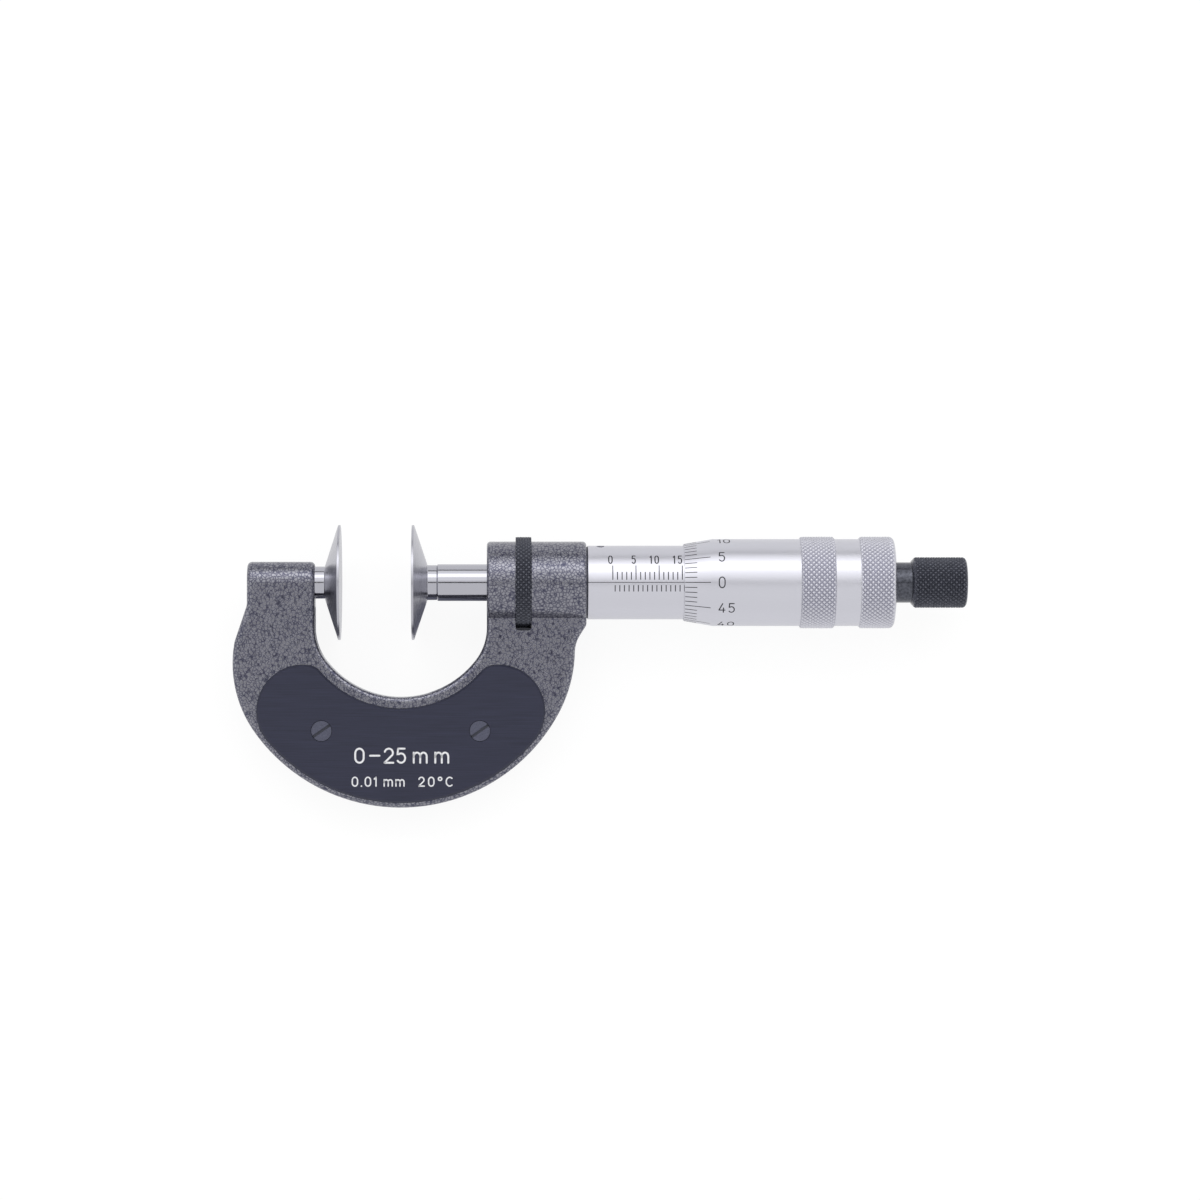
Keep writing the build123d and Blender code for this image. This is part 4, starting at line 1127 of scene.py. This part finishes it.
class MICROMETER_OT_lettering(bpy.types.Operator):
    """Letter the front plate with its range, its division and its temperature"""

    bl_idname = "micrometer.lettering"
    bl_label = "Plate lettering"
    # Name, words, middle from the throat's middle, baseline from the axis, height, and gap between letters
    lines = (
        ("range_lettering", "0–25 m m", 0.25 * MM, -39 * MM, 3.05 * MM, 0.26),
        ("division_lettering", "0.01 mm", -4.85 * MM, -44.05 * MM, 1.9 * MM, 0.42),
        ("temperature_lettering", "20°C", 7.55 * MM, -44.05 * MM, 1.9 * MM, 0.5),
    )
    small_share = 0.72

    def execute(self, context):
        scales = context.scene.micrometer.scales
        stroke = scales.plate_stroke
        for name, words, middle, baseline, height, gap in self.lines:
            drawing = bmesh.new()
            left = THROAT_MIDDLE + middle - words_width(words, height, 1, gap) / 2
            add_words(drawing, words, left, baseline, height, stroke, 1, gap)
            lay_flat(drawing, scales)
            for vert in drawing.verts:
                x, up, out = vert.co
                vert.co = AXIS * x + WEB_UP * up + WEB_FRONT * (PLATE_FACE + out)
            hand_over(drawing, name, ["screen_ink"], "frame")
            # The lines under the first one are cut with a finer stroke
            stroke = self.small_share * scales.plate_stroke
        return {"FINISHED"}


class MICROMETER_OT_studio(bpy.types.Operator):
    """Set up the camera, the lamps, the cards that metal mirrors, the floor and the room"""

    bl_idname = "micrometer.studio"
    bl_label = "Studio"
    # In mm for the sensor, and in metres for what the camera sees
    sensor, nearest, farthest = 36, 0.05, 20
    # Name, angle in degrees from the web's front to its top, distance from the aim, and size, in metres
    lamps = (("main_lamp", 44, 1.2, (2.4, 1.5)), ("core_lamp", 46, 1.1, (2.0, 0.45)))
    # A card just behind the camera, at a share of its distance, and one beyond the web's top
    near_card, near_share = (0.35, 0.11), 1.02
    far_card, far_angle, far_distance = (3.0, 0.12), 84.5, 1.2
    # Cards on the floor: how long they are from the disc's cone on, how deep, and where they lie
    anvil_length, spindle_length = 16 * MM, 14 * MM
    card_depth, card_middle, card_lift = 33 * MM, -20 * MM, 0.1 * MM
    floor_size, floor_glow = 12, 0.9

    def execute(self, context):
        studio = context.scene.micrometer.studio
        context.scene.view_settings.view_transform = "Standard"
        aim = AXIS * studio.aim_along - WEB_UP * studio.aim_below
        self.add_camera(context, studio, aim)
        for (name, angle, distance, size), power in zip(self.lamps, (studio.main_power, studio.core_power)):
            self.add_lamp(name, self.facing(aim, angle, distance), size, power)
        black = self.card_paint("black_card", "#141416")
        near = self.facing(aim, 0, studio.camera_distance * self.near_share)
        far = self.facing(aim, self.far_angle, self.far_distance)
        self.add_card("camera_card", black, near, self.near_card)
        self.add_card("far_card", black, far, self.far_card)
        # Grey cards on the floor darken the undersides of the two rods, beside the measuring gap
        grey = self.card_paint("grey_card", "#A3A5B6")
        anvil_cone, spindle_cone = -DISC_CONE, node_span("spindle_disc")[0] + DISC_CONE
        for name, start, end in (
            ("anvil_card", anvil_cone - self.anvil_length, anvil_cone),
            ("spindle_card", spindle_cone, spindle_cone + self.spindle_length),
        ):
            place = ((start + end) / 2, self.card_middle, cad_low.z + self.card_lift)
            card = self.add_card(name, grey, Matrix.Translation(place), (end - start, self.card_depth))
            card.visible_diffuse = card.visible_shadow = card.visible_transmission = False
        self.add_floor()
        self.light_room(context, studio)
        return {"FINISHED"}

    def facing(self, aim, angle, distance):
        """Place and turn of a thing that faces the aim, at an angle from the web's front to its top."""
        outwards = round_axis(0, math.radians(angle), 1)
        turn = Matrix((AXIS, outwards.cross(AXIS), outwards)).transposed()
        return Matrix.Translation(aim + outwards * distance) @ turn.to_4x4()

    def add_camera(self, context, studio, aim):
        """The camera squarely in front of the web."""
        data = bpy.data.cameras.new("camera")
        data.lens = studio.lens
        data.sensor_width = self.sensor
        beside = studio.aim_along - studio.camera_along
        data.shift_x = beside / studio.camera_distance * data.lens / data.sensor_width
        data.clip_start, data.clip_end = self.nearest, self.farthest
        camera = add_object("camera", data)
        camera.matrix_world = self.facing(aim - AXIS * beside, 0, studio.camera_distance)
        context.scene.camera = camera

    def add_lamp(self, name, place, size, power):
        """A soft rectangular lamp that the metal mirrors, unseen by the camera."""
        data = bpy.data.lights.new(name, "AREA")
        data.shape = "RECTANGLE"
        data.size, data.size_y = size
        data.energy = power
        lamp = add_object(name, data)
        lamp.matrix_world = place
        lamp.visible_camera = False

    def card_paint(self, name, hex_colour):
        """Matt card of a plain colour."""
        # Hardly any gloss, so metal shows the card as one even shade
        return coat(new_material(name), {"Base Color": linear_colour(hex_colour), "Roughness": 0.8})

    def add_plane(self, name, material, place, size):
        """A flat rectangle that belongs to the stage."""
        bm = bmesh.new()
        bmesh.ops.create_grid(bm, x_segments=1, y_segments=1, size=0.5)
        plane = add_object(name, to_mesh(bm, name))
        plane.data.materials.append(material)
        plane.matrix_world = place @ Matrix.Diagonal((*size, 1, 1))
        return plane

    def add_card(self, name, material, place, size):
        """A card that the metal mirrors as a darker stretch, unseen by the camera."""
        card = self.add_plane(name, material, place, size)
        card.visible_camera = False
        return card

    def add_floor(self):
        """A wide pale floor under the lowest point, white to the camera but for the shadow."""
        material = new_material("white_floor")
        tree = material.node_tree
        seen = self.seen_directly(tree)
        plain = add_node(tree, "ShaderNodeBsdfDiffuse", {"Color": linear_colour("#E7E7E7")})
        # What is seen shines nearly white by itself, over a grey that the shadow darkens
        shaded = add_node(tree, "ShaderNodeBsdfDiffuse", {"Color": linear_colour("#656565")})
        glow = add_node(tree, "ShaderNodeEmission", WHITE_LIGHT | {"Strength": self.floor_glow})
        white = add_node(tree, "ShaderNodeAddShader", {0: shaded.outputs[0], 1: glow.outputs[0]})
        mix = add_node(tree, "ShaderNodeMixShader", {0: seen, 1: plain.outputs[0], 2: white.outputs[0]})
        add_node(tree, "ShaderNodeOutputMaterial", {"Surface": mix.outputs[0]})
        lowest = Matrix.Translation((0, 0, cad_low.z))
        self.add_plane("floor", material, lowest, (self.floor_size, self.floor_size))

    def seen_directly(self, tree):
        """One for rays from the camera, off metal or through glass, and nothing for others."""
        path = add_node(tree, "ShaderNodeLightPath")
        first = {0: path.outputs["Is Camera Ray"], 1: path.outputs["Is Glossy Ray"]}
        either = add_node(tree, "ShaderNodeMath", first, operation="MAXIMUM").outputs[0]
        second = {0: either, 1: path.outputs["Is Transmission Ray"]}
        return add_node(tree, "ShaderNodeMath", second, operation="MAXIMUM").outputs[0]

    def light_room(self, context, studio):
        """An even room: white where it is seen, dimmer as the light on dull surfaces."""
        world = bpy.data.worlds.new("studio")
        context.scene.world = world
        world.use_nodes = True
        tree = world.node_tree
        tree.nodes.clear()
        seen = self.seen_directly(tree)
        dim, full = (
            add_node(tree, "ShaderNodeBackground", WHITE_LIGHT | {"Strength": strength})
            for strength in (studio.ambient, 1.0)
        )
        mix = add_node(tree, "ShaderNodeMixShader", {0: seen, 1: dim.outputs[0], 2: full.outputs[0]})
        add_node(tree, "ShaderNodeOutputWorld", {"Surface": mix.outputs[0]})


class MICROMETER_PT_pieces(bpy.types.Panel):
    """The micrometer's settings and pieces"""

    bl_idname = "MICROMETER_PT_pieces"
    bl_label = "Disc micrometer"
    bl_space_type = "VIEW_3D"
    bl_region_type = "UI"
    bl_category = "Micrometer"

    def draw(self, context):
        for operator in OPERATORS:
            self.layout.operator(operator.bl_idname)
        settings = context.scene.micrometer
        for group in (settings.knurl, settings.scales, settings.finishes, settings.studio):
            box = self.layout.box()
            for name in group.__annotations__:
                box.prop(group, name)


OPERATORS = (
    MICROMETER_OT_frame,
    MICROMETER_OT_inside,
    MICROMETER_OT_anvil,
    MICROMETER_OT_spindle,
    MICROMETER_OT_clamp_ring,
    MICROMETER_OT_scale_sleeve,
    MICROMETER_OT_thimble,
    MICROMETER_OT_ratchet_knob,
    MICROMETER_OT_lettering,
    MICROMETER_OT_studio,
)
SETTINGS = (MicrometerKnurl, MicrometerScales, MicrometerFinishes, MicrometerStudio, MicrometerSettings)


def register():
    """Registers the settings, the operators and the panel."""
    for made in (*SETTINGS, *OPERATORS, MICROMETER_PT_pieces):
        bpy.utils.register_class(made)
    bpy.types.Scene.micrometer = PointerProperty(type=MicrometerSettings)


def unregister():
    """Takes the settings, the operators and the panel away again."""
    del bpy.types.Scene.micrometer
    for made in reversed((*SETTINGS, *OPERATORS, MICROMETER_PT_pieces)):
        bpy.utils.unregister_class(made)


def main():
    """Builds the whole micrometer and its studio."""
    register()
    bpy.ops.micrometer.frame()
    bpy.ops.micrometer.inside()
    bpy.ops.micrometer.anvil()
    bpy.ops.micrometer.spindle()
    bpy.ops.micrometer.clamp_ring()
    bpy.ops.micrometer.scale_sleeve()
    bpy.ops.micrometer.thimble()
    bpy.ops.micrometer.ratchet_knob()
    bpy.ops.micrometer.lettering()
    bpy.ops.micrometer.studio()


if __name__ == "__main__":
    main()
